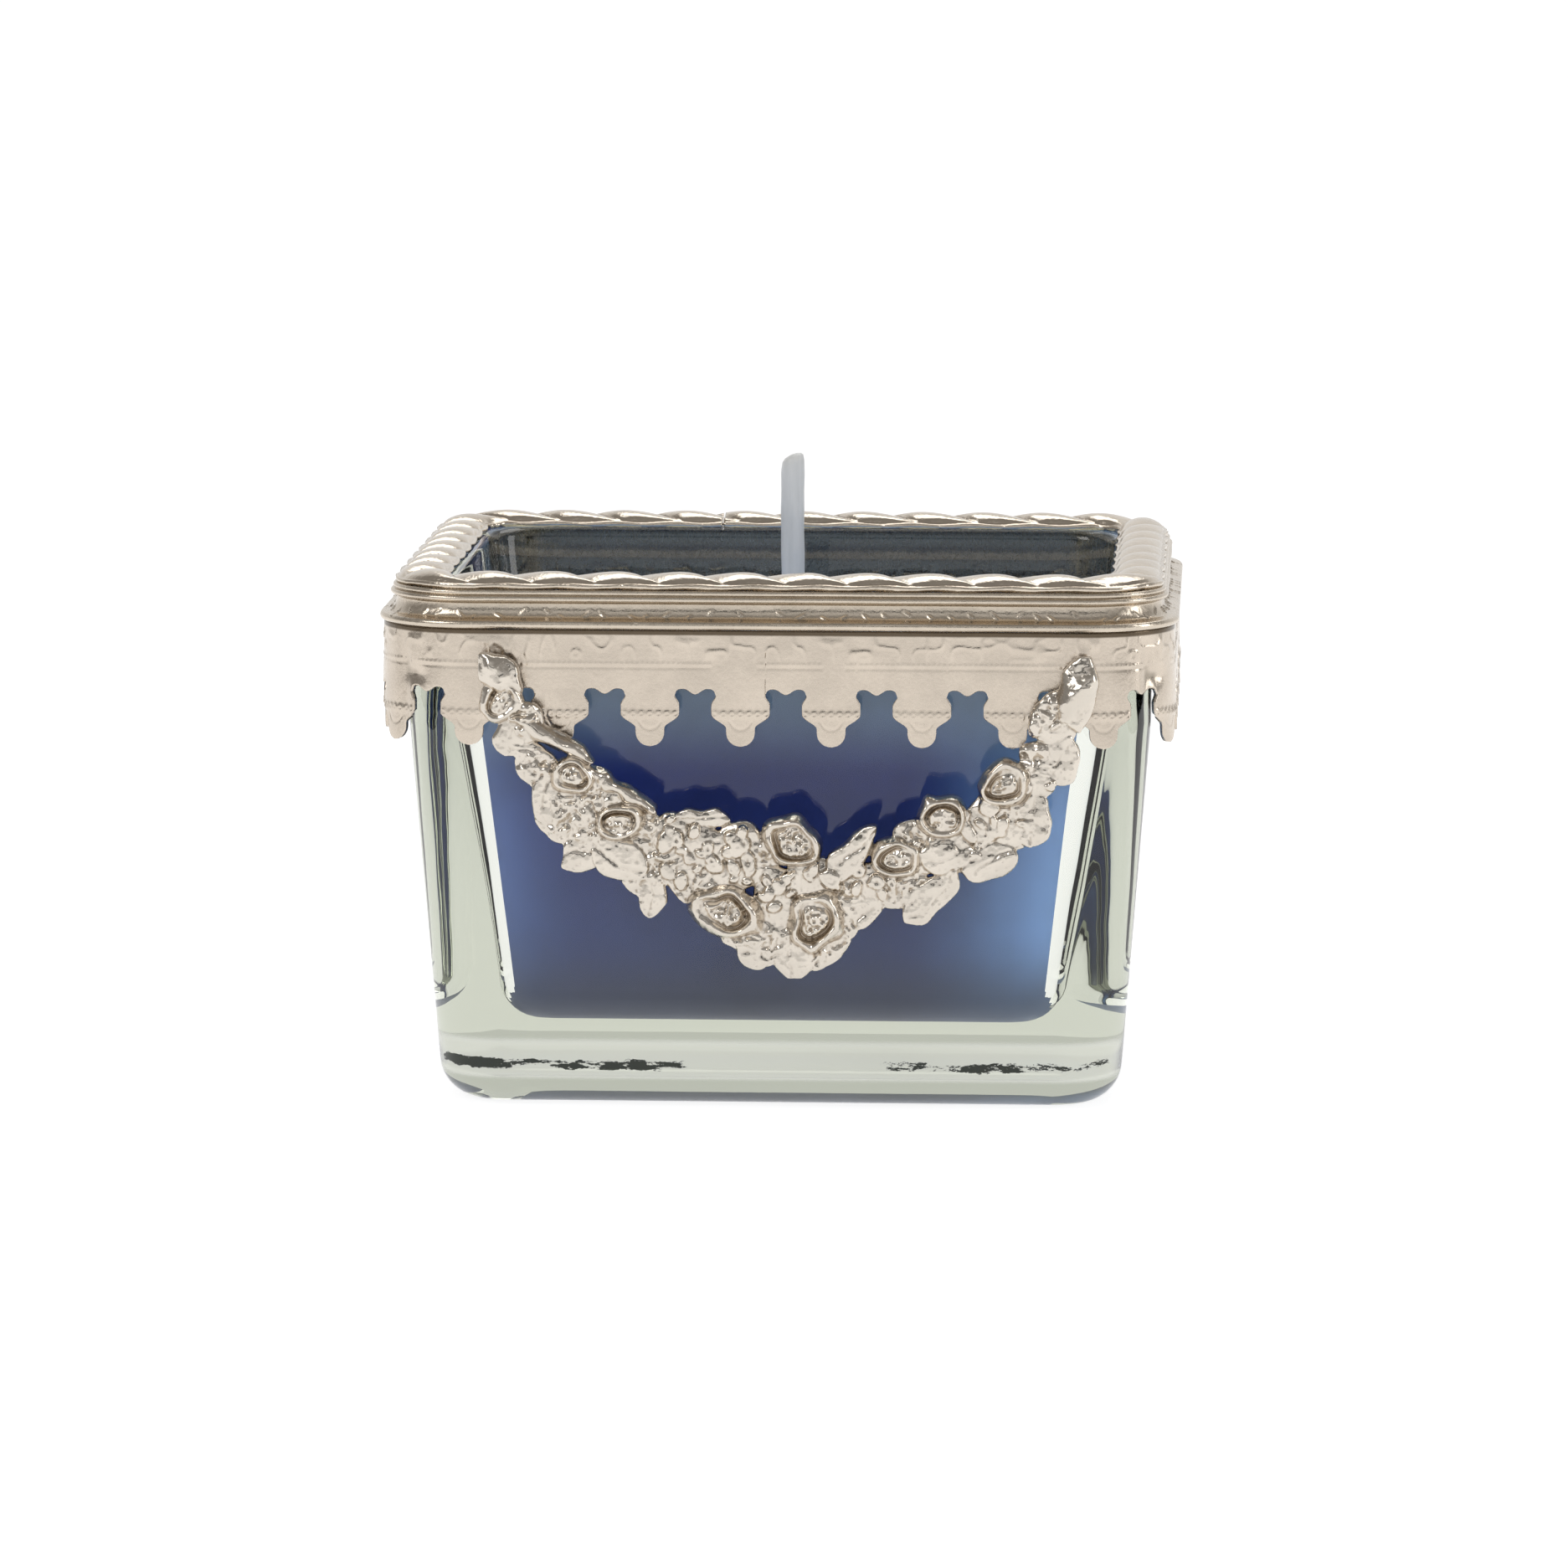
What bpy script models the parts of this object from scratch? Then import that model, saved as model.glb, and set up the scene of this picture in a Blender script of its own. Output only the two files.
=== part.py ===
"""Rectangular glass candle with a lift-off silver collar and a cast garland of roses.

Metres, +Z up. The front faces -Y and the origin is the middle of the glass base.
"""

import math

import bmesh
import bpy

MM = 0.001
GAP = 0.3 * MM
CORNER_STEPS = 6

# Glass cup: straight tapered walls that turn upright in a neck under the collar.
GLASS_HEIGHT = 63.4 * MM
GLASS_BASE_HALF = (41.1 * MM, 31.6 * MM)
GLASS_NECK_HALF = (44.8 * MM, 35.3 * MM)
GLASS_NECK_Z = 47.0 * MM
GLASS_CORNER_BASE = 8.0 * MM
GLASS_CORNER_NECK = 9.5 * MM
GLASS_FOOT_ROUND = 4.5 * MM
GLASS_RIM_ROUND = 1.2 * MM
CAVITY_FLOOR_Z = 10.0 * MM
CAVITY_FLOOR_HALF = (33.6 * MM, 24.1 * MM)
CAVITY_RIM_HALF = (39.6 * MM, 30.1 * MM)
CAVITY_CORNER = 6.5 * MM
CAVITY_FLOOR_ROUND = 4.0 * MM

# Wax, wick and what holds the wick at the cup floor.
WAX_TOP_Z = 54.0 * MM
WICK_X = 0.3 * MM
WICK_RADIUS = 1.55 * MM
WICK_TIP_Z = 76.8 * MM
WICK_TIP_SLANT = 1.1 * MM
STICKER_RADIUS = 7.0 * MM
STICKER_THICKNESS = 0.8 * MM
SUSTAINER_RADIUS = 7.5 * MM
SUSTAINER_THICKNESS = 0.5 * MM
SUSTAINER_NECK_RADIUS = 2.5 * MM
SUSTAINER_NECK_HEIGHT = 5.0 * MM

# Collar: every piece follows one rectangle, offset outwards with round corners.
CORE_HALF_X = 36.5 * MM
CORE_HALF_Y = 27.0 * MM
COLLAR_BORE = 8.95 * MM

ROPE_CENTRE = 6.5 * MM
ROPE_HALF_WIDTH = 3.2 * MM
ROPE_UNDERSIDE_Z = GLASS_HEIGHT + GAP
ROPE_HEIGHT = 1.6 * MM
ROPE_LIP = 0.45 * MM
ROPE_LOBES = 39
ROPE_STEPS_PER_LOBE = 4
ROPE_LEAN = 0.55
ROPE_VALLEY = 0.45
ROPE_SEAM_X = -10.4 * MM
ROPE_SEAM_GAP = 0.4 * MM

MOULDING_TOP_Z = GLASS_HEIGHT
MOULDING_BOTTOM_Z = 58.9 * MM
FILLET_RADIUS = 0.33 * MM
BEAD_RADIUS = 0.5 * MM
BEAD_OFFSET = 11.1 * MM

SKIRT_TOP_Z = MOULDING_BOTTOM_Z - GAP
SKIRT_TOP_OFFSET = 11.2 * MM
SKIRT_FLARE = 0.3 * MM
SKIRT_THICKNESS = 0.9 * MM
TAB_COUNT = 30
TAB_ROOT_Z = 51.2 * MM
TAB_BOTTOM_Z = 45.0 * MM
TAB_SHIFT = 1.45 * MM
NOTCH_HALF_WIDTH = 2.45 * MM
NOTCH_LOBE_HEIGHT = 0.65 * MM

# Garland: a flat-backed casting that hangs clear of the glass.
GARLAND_BACK_Y = -39.8 * MM
GARLAND_MIDDLE_Y = GARLAND_BACK_Y - 0.9 * MM
GARLAND_SHIFT_X = -0.9 * MM
GARLAND_VOXEL = 0.42 * MM
GARLAND_KEPT_FACES = 0.16
SOLDER_RADIUS = 1.6 * MM
SOLDER_PLACES = {"garland_solder_left": (-32.4 * MM, 53.2 * MM), "garland_solder_right": (35.7 * MM, 52.6 * MM)}

# Each casting element: middle x and z, half length, half width, tilt in degrees, relief (mm).
ROSES = [
    (-23.0, 41.8, 2.9, 2.5, 0, 2.6),
    (-17.3, 36.1, 3.1, 2.5, 0, 2.7),
    (3.4, 34.1, 3.9, 2.9, -25, 2.8),
    (-4.6, 25.6, 4.8, 3.1, -15, 2.9),
    (6.1, 24.6, 4.1, 3.4, 60, 3.0),
    (15.8, 32.3, 3.2, 2.6, 0, 2.3),
    (21.3, 37.1, 3.2, 2.7, 0, 2.7),
    (28.5, 41.1, 3.2, 2.8, 20, 2.7),
    (-31.5, 50.6, 2.7, 2.5, 0, 2.1),
]
LEAVES = [
    (-30.2, 46.6, 2.9, 2.1, 70, 1.0),
    (-28.3, 44.6, 2.4, 1.7, -20, 1.0),
    (-26.0, 38.8, 3.1, 2.1, 95, 1.4),
    (-21.8, 32.3, 2.7, 2.2, 20, 1.3),
    (-17.3, 31.6, 3.6, 2.5, -15, 1.7),
    (-13.6, 27.4, 2.9, 1.8, 80, 1.1),
    (-7.3, 36.7, 3.4, 1.3, 0, 1.3),
    (-1.6, 20.3, 2.2, 1.7, -20, 1.2),
    (3.4, 20.6, 3.2, 2.6, 90, 1.5),
    (10.3, 32.6, 4.3, 1.8, 50, 1.9),
    (12.3, 25.9, 2.6, 1.6, 65, 1.1),
    (19.8, 27.4, 4.4, 2.1, 45, 1.2),
    (21.6, 32.7, 3.2, 2.4, 10, 1.6),
    (26.8, 31.8, 3.5, 2.4, 20, 1.5),
    (32.0, 36.8, 3.2, 2.2, 85, 1.4),
    (35.0, 43.8, 3.1, 2.5, 70, 1.2),
    (37.2, 52.6, 4.1, 2.3, 68, 2.2),
]
BUDS = [
    (-31.7, 54.3, 2.3, 2.2, 0, 2.1),
    (-11.3, 34.7, 2.7, 2.6, 0, 1.8),
    (-7.3, 33.0, 2.9, 2.9, 0, 2.1),
    (-3.0, 33.6, 3.0, 2.9, 0, 2.0),
    (-9.2, 30.4, 2.5, 2.0, -20, 1.7),
    (-3.4, 30.2, 3.5, 2.5, 0, 1.9),
    (1.4, 27.0, 4.6, 2.6, 90, 1.8),
    (5.6, 29.6, 3.3, 2.8, 0, 1.9),
    (12.7, 29.3, 2.9, 2.5, 0, 1.7),
    (26.0, 36.6, 3.0, 2.5, 60, 1.8),
    (29.4, 35.6, 2.9, 2.4, 0, 1.6),
    (32.6, 41.0, 1.9, 1.9, 0, 1.7),
    (34.6, 47.8, 2.9, 2.5, 70, 1.6),
]
GROUND = [
    (-23.3, 37.2, 4.2, 3.4, -35, 0.9),
    (-20.0, 34.0, 3.4, 2.4, 0, 0.9),
    (-15.2, 30.0, 2.6, 2.0, -60, 0.8),
    (-12.2, 31.0, 2.9, 2.3, 20, 0.9),
    (-9.5, 28.6, 2.4, 1.6, -40, 0.7),
    (-2.0, 22.8, 3.4, 2.4, -25, 0.8),
    (0.6, 22.6, 3.2, 2.8, 90, 0.9),
    (7.4, 21.4, 3.0, 1.9, 40, 0.8),
    (9.4, 24.6, 2.4, 2.0, 60, 0.8),
    (10.4, 28.3, 3.0, 2.4, 0, 0.8),
    (15.6, 28.8, 3.8, 2.4, 0, 0.8),
    (18.2, 33.4, 3.2, 3.0, 0, 0.9),
    (24.4, 33.6, 3.4, 2.8, 40, 0.9),
    (28.8, 38.0, 3.4, 2.6, 0, 0.8),
    (32.4, 43.4, 2.4, 2.2, 60, 0.8),
    (33.4, 49.6, 3.0, 1.4, 60, 1.0),
    (-27.2, 42.6, 2.8, 2.2, -40, 0.8),
    (-28.6, 48.4, 2.3, 1.8, -60, 1.0),
]
STEMS = [
    (-24.9, 46.0, 5.6, 1.1, -28, 1.7),
    (-19.8, 41.6, 3.0, 1.1, -32, 1.6),
    (-16.4, 39.4, 3.9, 1.2, -30, 1.8),
]


def clear_scene():
    """Remove whatever the new file holds."""
    for scene_object in list(bpy.data.objects):
        bpy.data.objects.remove(scene_object, do_unlink=True)


def make_material(name, colour, roughness, metallic=0.0, transmission=0.0, ior=1.5):
    """A plain Principled material."""
    material = bpy.data.materials.new(name)
    material.use_nodes = True
    shader = material.node_tree.nodes["Principled BSDF"]
    shader.inputs["Base Color"].default_value = (*colour, 1.0)
    shader.inputs["Roughness"].default_value = roughness
    shader.inputs["Metallic"].default_value = metallic
    shader.inputs["Transmission Weight"].default_value = transmission
    shader.inputs["IOR"].default_value = ior
    material.diffuse_color = (*colour, 1.0)
    return material


def make_object(name, points, faces, material, closed=True):
    """A smooth-shaded object from points and faces, its faces turned outwards."""
    mesh = bpy.data.meshes.new(name)
    mesh.from_pydata(points, [], faces)
    work = bmesh.new()
    work.from_mesh(mesh)
    if closed:
        bmesh.ops.recalc_face_normals(work, faces=work.faces)
    for face in work.faces:
        face.smooth = True
    work.to_mesh(mesh)
    work.free()
    mesh.materials.append(material)
    new_object = bpy.data.objects.new(name, mesh)
    bpy.context.scene.collection.objects.link(new_object)
    return new_object


def skin(name, rings, material, ends="caps"):
    """Join rings of equal length into one body; ends are flat caps or joined to each other."""
    size = len(rings[0])
    points = [point for ring in rings for point in ring]
    spans = len(rings) if ends == "joined" else len(rings) - 1
    faces = []
    for span in range(spans):
        near = span * size
        far = (span + 1) % len(rings) * size
        for index in range(size):
            following = (index + 1) % size
            faces.append((near + index, near + following, far + following, far + index))
    if ends == "caps":
        faces.append(tuple(range(size)))
        faces.append(tuple(range(len(points) - size, len(points))))
    return make_object(name, points, faces, material)


def rectangle_ring(half_x, half_y, corner, z):
    """A level rectangle with round corners, anticlockwise seen from above."""
    signs = [(1, 1), (-1, 1), (-1, -1), (1, -1)]
    ring = []
    for quarter, (sign_x, sign_y) in enumerate(signs):
        for step in range(CORNER_STEPS + 1):
            angle = (quarter + step / CORNER_STEPS) * math.pi / 2
            x = sign_x * (half_x - corner) + corner * math.cos(angle)
            y = sign_y * (half_y - corner) + corner * math.sin(angle)
            ring.append((x, y, z))
    return ring


def circle_ring(radius, z):
    """A level circle round the wick, with as many points as rectangle_ring."""
    count = 4 * (CORNER_STEPS + 1)
    ring = []
    for index in range(count):
        angle = math.pi / 4 + (index - CORNER_STEPS / 2) * 2 * math.pi / count
        ring.append((WICK_X + radius * math.cos(angle), radius * math.sin(angle), z))
    return ring


def mix(low, high, share):
    """The value that lies the given share of the way from low to high."""
    return low + (high - low) * share


def glass_ring(z, inset=0.0):
    """The outside of the glass at one height."""
    share = min(z / GLASS_NECK_Z, 1.0)
    half_x = mix(GLASS_BASE_HALF[0], GLASS_NECK_HALF[0], share) - inset
    half_y = mix(GLASS_BASE_HALF[1], GLASS_NECK_HALF[1], share) - inset
    corner = mix(GLASS_CORNER_BASE, GLASS_CORNER_NECK, share) - inset
    return rectangle_ring(half_x, half_y, corner, z)


def cavity_ring(z, inset=0.0):
    """The inside of the glass at one height."""
    share = (z - CAVITY_FLOOR_Z) / (GLASS_HEIGHT - CAVITY_FLOOR_Z)
    half_x = mix(CAVITY_FLOOR_HALF[0], CAVITY_RIM_HALF[0], share) - inset
    half_y = mix(CAVITY_FLOOR_HALF[1], CAVITY_RIM_HALF[1], share) - inset
    return rectangle_ring(half_x, half_y, CAVITY_CORNER - inset, z)


def round_steps(count):
    """Angles of a quarter turn, from zero to a right angle."""
    return [math.pi / 2 * step / count for step in range(count + 1)]


def build_glass(material):
    """Outer wall up from the foot, over the rim and down the cavity to its floor."""
    foot = [
        glass_ring(GLASS_FOOT_ROUND * (1 - math.sin(angle)), GLASS_FOOT_ROUND * (1 - math.cos(angle)))
        for angle in reversed(round_steps(4))
    ]
    walls = [glass_ring(GLASS_NECK_Z * share) for share in (0.45, 0.8, 1.0)]
    rim_start = GLASS_HEIGHT - GLASS_RIM_ROUND
    outer_rim = [
        glass_ring(rim_start + GLASS_RIM_ROUND * math.sin(angle), GLASS_RIM_ROUND * (1 - math.cos(angle)))
        for angle in round_steps(2)
    ]
    inner_rim = [
        cavity_ring(rim_start + GLASS_RIM_ROUND * math.sin(angle), -GLASS_RIM_ROUND * (1 - math.cos(angle)))
        for angle in reversed(round_steps(2))
    ]
    inner_wall = [cavity_ring(mix(CAVITY_FLOOR_Z, GLASS_HEIGHT, 0.5))]
    floor_round = [
        cavity_ring(
            CAVITY_FLOOR_Z + CAVITY_FLOOR_ROUND * (1 - math.sin(angle)),
            CAVITY_FLOOR_ROUND * (1 - math.cos(angle)),
        )
        for angle in round_steps(4)
    ]
    return skin("glass_cup", foot + walls + outer_rim + inner_rim + inner_wall + floor_round, material)


def build_wax(material):
    """The wax block, with a stepped bore for the wick and its sustainer."""
    bore = WICK_RADIUS + GAP
    neck_bore = SUSTAINER_NECK_RADIUS + GAP
    base_bore = SUSTAINER_RADIUS + GAP
    wax_floor = CAVITY_FLOOR_Z + GAP
    base_top = wax_floor + STICKER_THICKNESS + GAP + SUSTAINER_THICKNESS + GAP
    neck_top = base_top + SUSTAINER_NECK_HEIGHT
    floor_round = [
        cavity_ring(
            wax_floor + CAVITY_FLOOR_ROUND * (1 - math.sin(angle)),
            GAP + CAVITY_FLOOR_ROUND * (1 - math.cos(angle)),
        )
        for angle in round_steps(4)
    ]
    rings = [
        circle_ring(bore, WAX_TOP_Z),
        cavity_ring(WAX_TOP_Z, GAP),
        cavity_ring(mix(wax_floor, WAX_TOP_Z, 0.5), GAP),
        *floor_round,
        circle_ring(base_bore, wax_floor),
        circle_ring(base_bore, base_top),
        circle_ring(neck_bore, base_top),
        circle_ring(neck_bore, neck_top),
        circle_ring(bore, neck_top),
    ]
    return skin("wax_fill", rings, material, ends="joined")


def build_wick(material):
    """A stiff waxed wick, cut off at a slant."""
    bottom = CAVITY_FLOOR_Z + GAP + STICKER_THICKNESS + GAP
    rings = [circle_ring(WICK_RADIUS * 0.85, bottom), circle_ring(WICK_RADIUS, bottom + WICK_RADIUS * 0.3)]
    for radius, drop in ((WICK_RADIUS, 1.0), (WICK_RADIUS * 0.8, 0.0)):
        ring = []
        for x, y, z in circle_ring(radius, WICK_TIP_Z - WICK_TIP_SLANT / 2 - drop * WICK_RADIUS * 0.3):
            slant = WICK_TIP_SLANT / 2 * (x - WICK_X) / WICK_RADIUS
            ring.append((x, y, z + slant))
        rings.append(ring)
    return skin("wick", rings, material)


def build_sustainer(material):
    """A tin disc with a neck that grips the wick."""
    bottom = CAVITY_FLOOR_Z + GAP + STICKER_THICKNESS + GAP
    top = bottom + SUSTAINER_THICKNESS
    bore = WICK_RADIUS + GAP
    profile = [
        (bore, bottom),
        (SUSTAINER_RADIUS, bottom),
        (SUSTAINER_RADIUS, top),
        (SUSTAINER_NECK_RADIUS + SUSTAINER_THICKNESS / 2, top),
        (SUSTAINER_NECK_RADIUS, top + SUSTAINER_THICKNESS / 2),
        (SUSTAINER_NECK_RADIUS, top + SUSTAINER_NECK_HEIGHT - SUSTAINER_THICKNESS),
        (bore, top + SUSTAINER_NECK_HEIGHT - SUSTAINER_THICKNESS),
    ]
    rings = [circle_ring(radius, z) for radius, z in profile]
    return skin("wick_sustainer", rings, material, ends="joined")


def build_sticker(material):
    """The adhesive dot under the sustainer."""
    bottom = CAVITY_FLOOR_Z + GAP
    rings = [circle_ring(STICKER_RADIUS, bottom), circle_ring(STICKER_RADIUS, bottom + STICKER_THICKNESS)]
    return skin("wick_sticker", rings, material)


def perimeter(offset):
    """Length round the core rectangle at an offset outwards."""
    return 4 * (CORE_HALF_X + CORE_HALF_Y) + 2 * math.pi * offset


def station(distance, offset):
    """Core point and outward direction at a distance along the offset path.

    The path starts at the middle of the front and runs towards +X.
    """
    quarter_arc = math.pi / 2 * offset
    legs = [
        (CORE_HALF_X, (0.0, -CORE_HALF_Y), (1, 0)),
        (quarter_arc, (CORE_HALF_X, -CORE_HALF_Y), None),
        (2 * CORE_HALF_Y, (CORE_HALF_X, -CORE_HALF_Y), (0, 1)),
        (quarter_arc, (CORE_HALF_X, CORE_HALF_Y), None),
        (2 * CORE_HALF_X, (CORE_HALF_X, CORE_HALF_Y), (-1, 0)),
        (quarter_arc, (-CORE_HALF_X, CORE_HALF_Y), None),
        (2 * CORE_HALF_Y, (-CORE_HALF_X, CORE_HALF_Y), (0, -1)),
        (quarter_arc, (-CORE_HALF_X, -CORE_HALF_Y), None),
        (CORE_HALF_X, (-CORE_HALF_X, -CORE_HALF_Y), (1, 0)),
    ]
    left = distance % perimeter(offset)
    heading = -math.pi / 2
    for length, (x, y), run in legs:
        if left <= length:
            if run is None:
                heading += left / offset
            else:
                x += run[0] * left
                y += run[1] * left
            break
        left -= length
        if run is None:
            heading += math.pi / 2
    return x, y, math.cos(heading), math.sin(heading)


def wrap(place, profile):
    """Stand a profile of (offset, z) points up at one station."""
    x, y, out_x, out_y = place
    return [(x + out_x * offset, y + out_y * offset, z) for offset, z in profile]


def rope_profile(phase):
    """One cross-section of the gadrooned roll, its top rising and falling along leaning lobes."""
    inner = ROPE_CENTRE - ROPE_HALF_WIDTH
    outer = ROPE_CENTRE + ROPE_HALF_WIDTH
    lip_wave = 0.3 * ROPE_LIP * math.cos(2 * math.pi * phase)
    lip_top = ROPE_UNDERSIDE_Z + ROPE_LIP
    profile = [(inner, ROPE_UNDERSIDE_Z), (outer, ROPE_UNDERSIDE_Z), (outer + lip_wave, lip_top)]
    for across in (0.88, 0.68, 0.5, 0.32, 0.12):
        crest = abs(math.cos(math.pi * (phase + ROPE_LEAN * (across - 0.5))))
        rise = math.sin(math.pi * across) ** 0.6 * (1 - ROPE_VALLEY * (1 - crest ** 0.7))
        offset = mix(inner + ROPE_LIP, outer - ROPE_LIP, across)
        profile.append((offset, mix(lip_top, ROPE_UNDERSIDE_Z + ROPE_HEIGHT, rise)))
    profile.append((inner - lip_wave, lip_top))
    return profile


def build_rope(material):
    """The rope strip, bent round once, with its two ends meeting at the back."""
    length = perimeter(ROPE_CENTRE)
    seam = length / 2 - ROPE_SEAM_X
    count = ROPE_LOBES * ROPE_STEPS_PER_LOBE
    rings = []
    for index in range(count + 1):
        distance = seam + ROPE_SEAM_GAP / 2 + (length - ROPE_SEAM_GAP) * index / count
        phase = index / ROPE_STEPS_PER_LOBE
        rings.append(wrap(station(distance, ROPE_CENTRE), rope_profile(phase)))
    return skin("rope_rim", rings, material)


def half_round(offset, z, radius, steps):
    """Points of a half round that bulges outwards, from top to bottom."""
    return [
        (offset + radius * math.sin(math.pi * step / steps), z + radius * math.cos(math.pi * step / steps))
        for step in range(steps + 1)
    ]


def moulding_profile():
    """Two fillets, a cove and a bead, read down the outer side."""
    fillet_offset = ROPE_CENTRE + ROPE_HALF_WIDTH
    upper_fillet = half_round(fillet_offset, MOULDING_TOP_Z - FILLET_RADIUS, FILLET_RADIUS, 4)
    lower_fillet = half_round(fillet_offset + GAP, MOULDING_TOP_Z - 3.2 * FILLET_RADIUS, FILLET_RADIUS, 4)
    bead = half_round(BEAD_OFFSET, MOULDING_BOTTOM_Z + BEAD_RADIUS, BEAD_RADIUS, 5)
    cove_top = MOULDING_TOP_Z - 5.0 * FILLET_RADIUS
    cove_bottom = MOULDING_BOTTOM_Z + 2.3 * BEAD_RADIUS
    cove = []
    for angle in round_steps(3):
        offset = mix(fillet_offset, BEAD_OFFSET - BEAD_RADIUS, 1 - math.cos(angle))
        cove.append((offset, mix(cove_top, cove_bottom, math.sin(angle))))
    return upper_fillet + lower_fillet + cove + bead + [
        (COLLAR_BORE, MOULDING_BOTTOM_Z),
        (COLLAR_BORE, MOULDING_TOP_Z),
    ]


def build_moulding(material):
    """The moulding, run once round the collar."""
    profile = moulding_profile()
    rings = []
    for turn in range(4):
        for step in range(CORNER_STEPS + 1):
            heading = (turn - 1 + step / CORNER_STEPS) * math.pi / 2
            x = CORE_HALF_X * (1 if turn in (0, 1) else -1)
            y = CORE_HALF_Y * (1 if turn in (1, 2) else -1)
            rings.append(wrap((x, y, math.cos(heading), math.sin(heading)), profile))
    return skin("moulding_band", rings, material, ends="joined")


def tab_rows(pitch):
    """Height and half width of a tab, from its root down to its round tip."""
    root = pitch / 2 - NOTCH_HALF_WIDTH
    drop = TAB_ROOT_Z - TAB_BOTTOM_Z
    return [
        (TAB_ROOT_Z, root),
        (TAB_ROOT_Z - 0.20 * drop, root * 1.17),
        (TAB_ROOT_Z - 0.45 * drop, root * 1.18),
        (TAB_ROOT_Z - 0.56 * drop, root * 1.02),
        (TAB_ROOT_Z - 0.66 * drop, root * 0.72),
        (TAB_ROOT_Z - 0.88 * drop, root * 0.50),
        (TAB_BOTTOM_Z, root * 0.20),
    ]


def build_skirt(material):
    """A flared strip with a row of tabs; each notch between tabs has two round ears at its top."""
    pitch = perimeter(SKIRT_TOP_OFFSET) / TAB_COUNT
    lobe = NOTCH_HALF_WIDTH * 0.7
    ear_z = TAB_ROOT_Z + NOTCH_LOBE_HEIGHT
    edge = [
        (0.0, TAB_ROOT_Z),
        (lobe, ear_z),
        (NOTCH_HALF_WIDTH, TAB_ROOT_Z),
        (pitch / 2, TAB_ROOT_Z),
        (pitch - NOTCH_HALF_WIDTH, TAB_ROOT_Z),
        (pitch - lobe, ear_z),
    ]
    points = []
    faces = []

    def place(along, z):
        flare = SKIRT_FLARE * (SKIRT_TOP_Z - z) / (SKIRT_TOP_Z - TAB_BOTTOM_Z)
        at = station(along + TAB_SHIFT, SKIRT_TOP_OFFSET)
        points.extend(wrap(at, [(SKIRT_TOP_OFFSET + flare, z)]))
        return len(points) - 1

    columns = []
    for tab in range(TAB_COUNT):
        for along, z in edge:
            columns.append((place(tab * pitch + along, SKIRT_TOP_Z), place(tab * pitch + along, z)))
    for index, (top, bottom) in enumerate(columns):
        next_top, next_bottom = columns[(index + 1) % len(columns)]
        faces.append((top, bottom, next_bottom, next_top))
    for tab in range(TAB_COUNT):
        root = [columns[tab * len(edge) + column][1] for column in (2, 3, 4)]
        for z, half_width in tab_rows(pitch)[1:]:
            middle = (tab + 0.5) * pitch
            row = [place(middle + side * half_width, z) for side in (-1, 0, 1)]
            faces.append((root[0], row[0], row[1], root[1]))
            faces.append((root[1], row[1], row[2], root[2]))
            root = row
    skirt = make_object("lambrequin_skirt", points, faces, material, closed=False)
    thicken = skirt.modifiers.new("sheet", "SOLIDIFY")
    thicken.thickness = SKIRT_THICKNESS
    thicken.offset = -1.0
    return skirt


def casting_element(element, work):
    """Add one flat-backed oval boss to the garland."""
    middle_x, middle_z, half_length, half_width, tilt, relief = element
    made = bmesh.ops.create_uvsphere(work, u_segments=20, v_segments=12, radius=1.0)
    turn = math.radians(tilt)
    for vertex in made["verts"]:
        along = vertex.co.x * half_length * MM
        across = vertex.co.z * half_width * MM
        forward = vertex.co.y * relief * MM
        vertex.co.x = GARLAND_SHIFT_X + middle_x * MM + along * math.cos(turn) - across * math.sin(turn)
        vertex.co.z = middle_z * MM + along * math.sin(turn) + across * math.cos(turn)
        vertex.co.y = min(GARLAND_MIDDLE_Y + forward, GARLAND_BACK_Y)


def rose_heart(element, work):
    """A small raised boss in the middle of a rose."""
    x, z, half_length, half_width, tilt, relief = element
    casting_element((x, z, half_length * 0.45, half_width * 0.45, tilt, relief + 0.5), work)


def build_garland(material):
    """All bosses grown together into one casting, then thinned to fewer faces."""
    work = bmesh.new()
    for element in GROUND + ROSES + LEAVES + BUDS + STEMS:
        casting_element(element, work)
    for element in ROSES:
        rose_heart(element, work)
    mesh = bpy.data.meshes.new("garland")
    work.to_mesh(mesh)
    work.free()
    mesh.materials.append(material)
    garland = bpy.data.objects.new("garland", mesh)
    bpy.context.scene.collection.objects.link(garland)
    grow = garland.modifiers.new("grow_together", "REMESH")
    grow.mode = "VOXEL"
    grow.voxel_size = GARLAND_VOXEL
    grow.use_smooth_shade = True
    thin = garland.modifiers.new("fewer_faces", "DECIMATE")
    thin.ratio = GARLAND_KEPT_FACES
    return garland


def build_solder(name, place, material):
    """A solder pad between the skirt and one end of the garland."""
    skirt_face = -(CORE_HALF_Y + SKIRT_TOP_OFFSET + SKIRT_FLARE)
    x, z = place
    rings = []
    for radius, y in (
        (SOLDER_RADIUS, skirt_face - GAP),
        (SOLDER_RADIUS * 0.9, (skirt_face + GARLAND_BACK_Y) / 2),
        (SOLDER_RADIUS, GARLAND_BACK_Y + GAP),
    ):
        angles = [2 * math.pi * step / 20 for step in range(20)]
        rings.append([(x + radius * math.cos(a), y, z + radius * math.sin(a)) for a in angles])
    return skin(name, rings, material)


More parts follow.
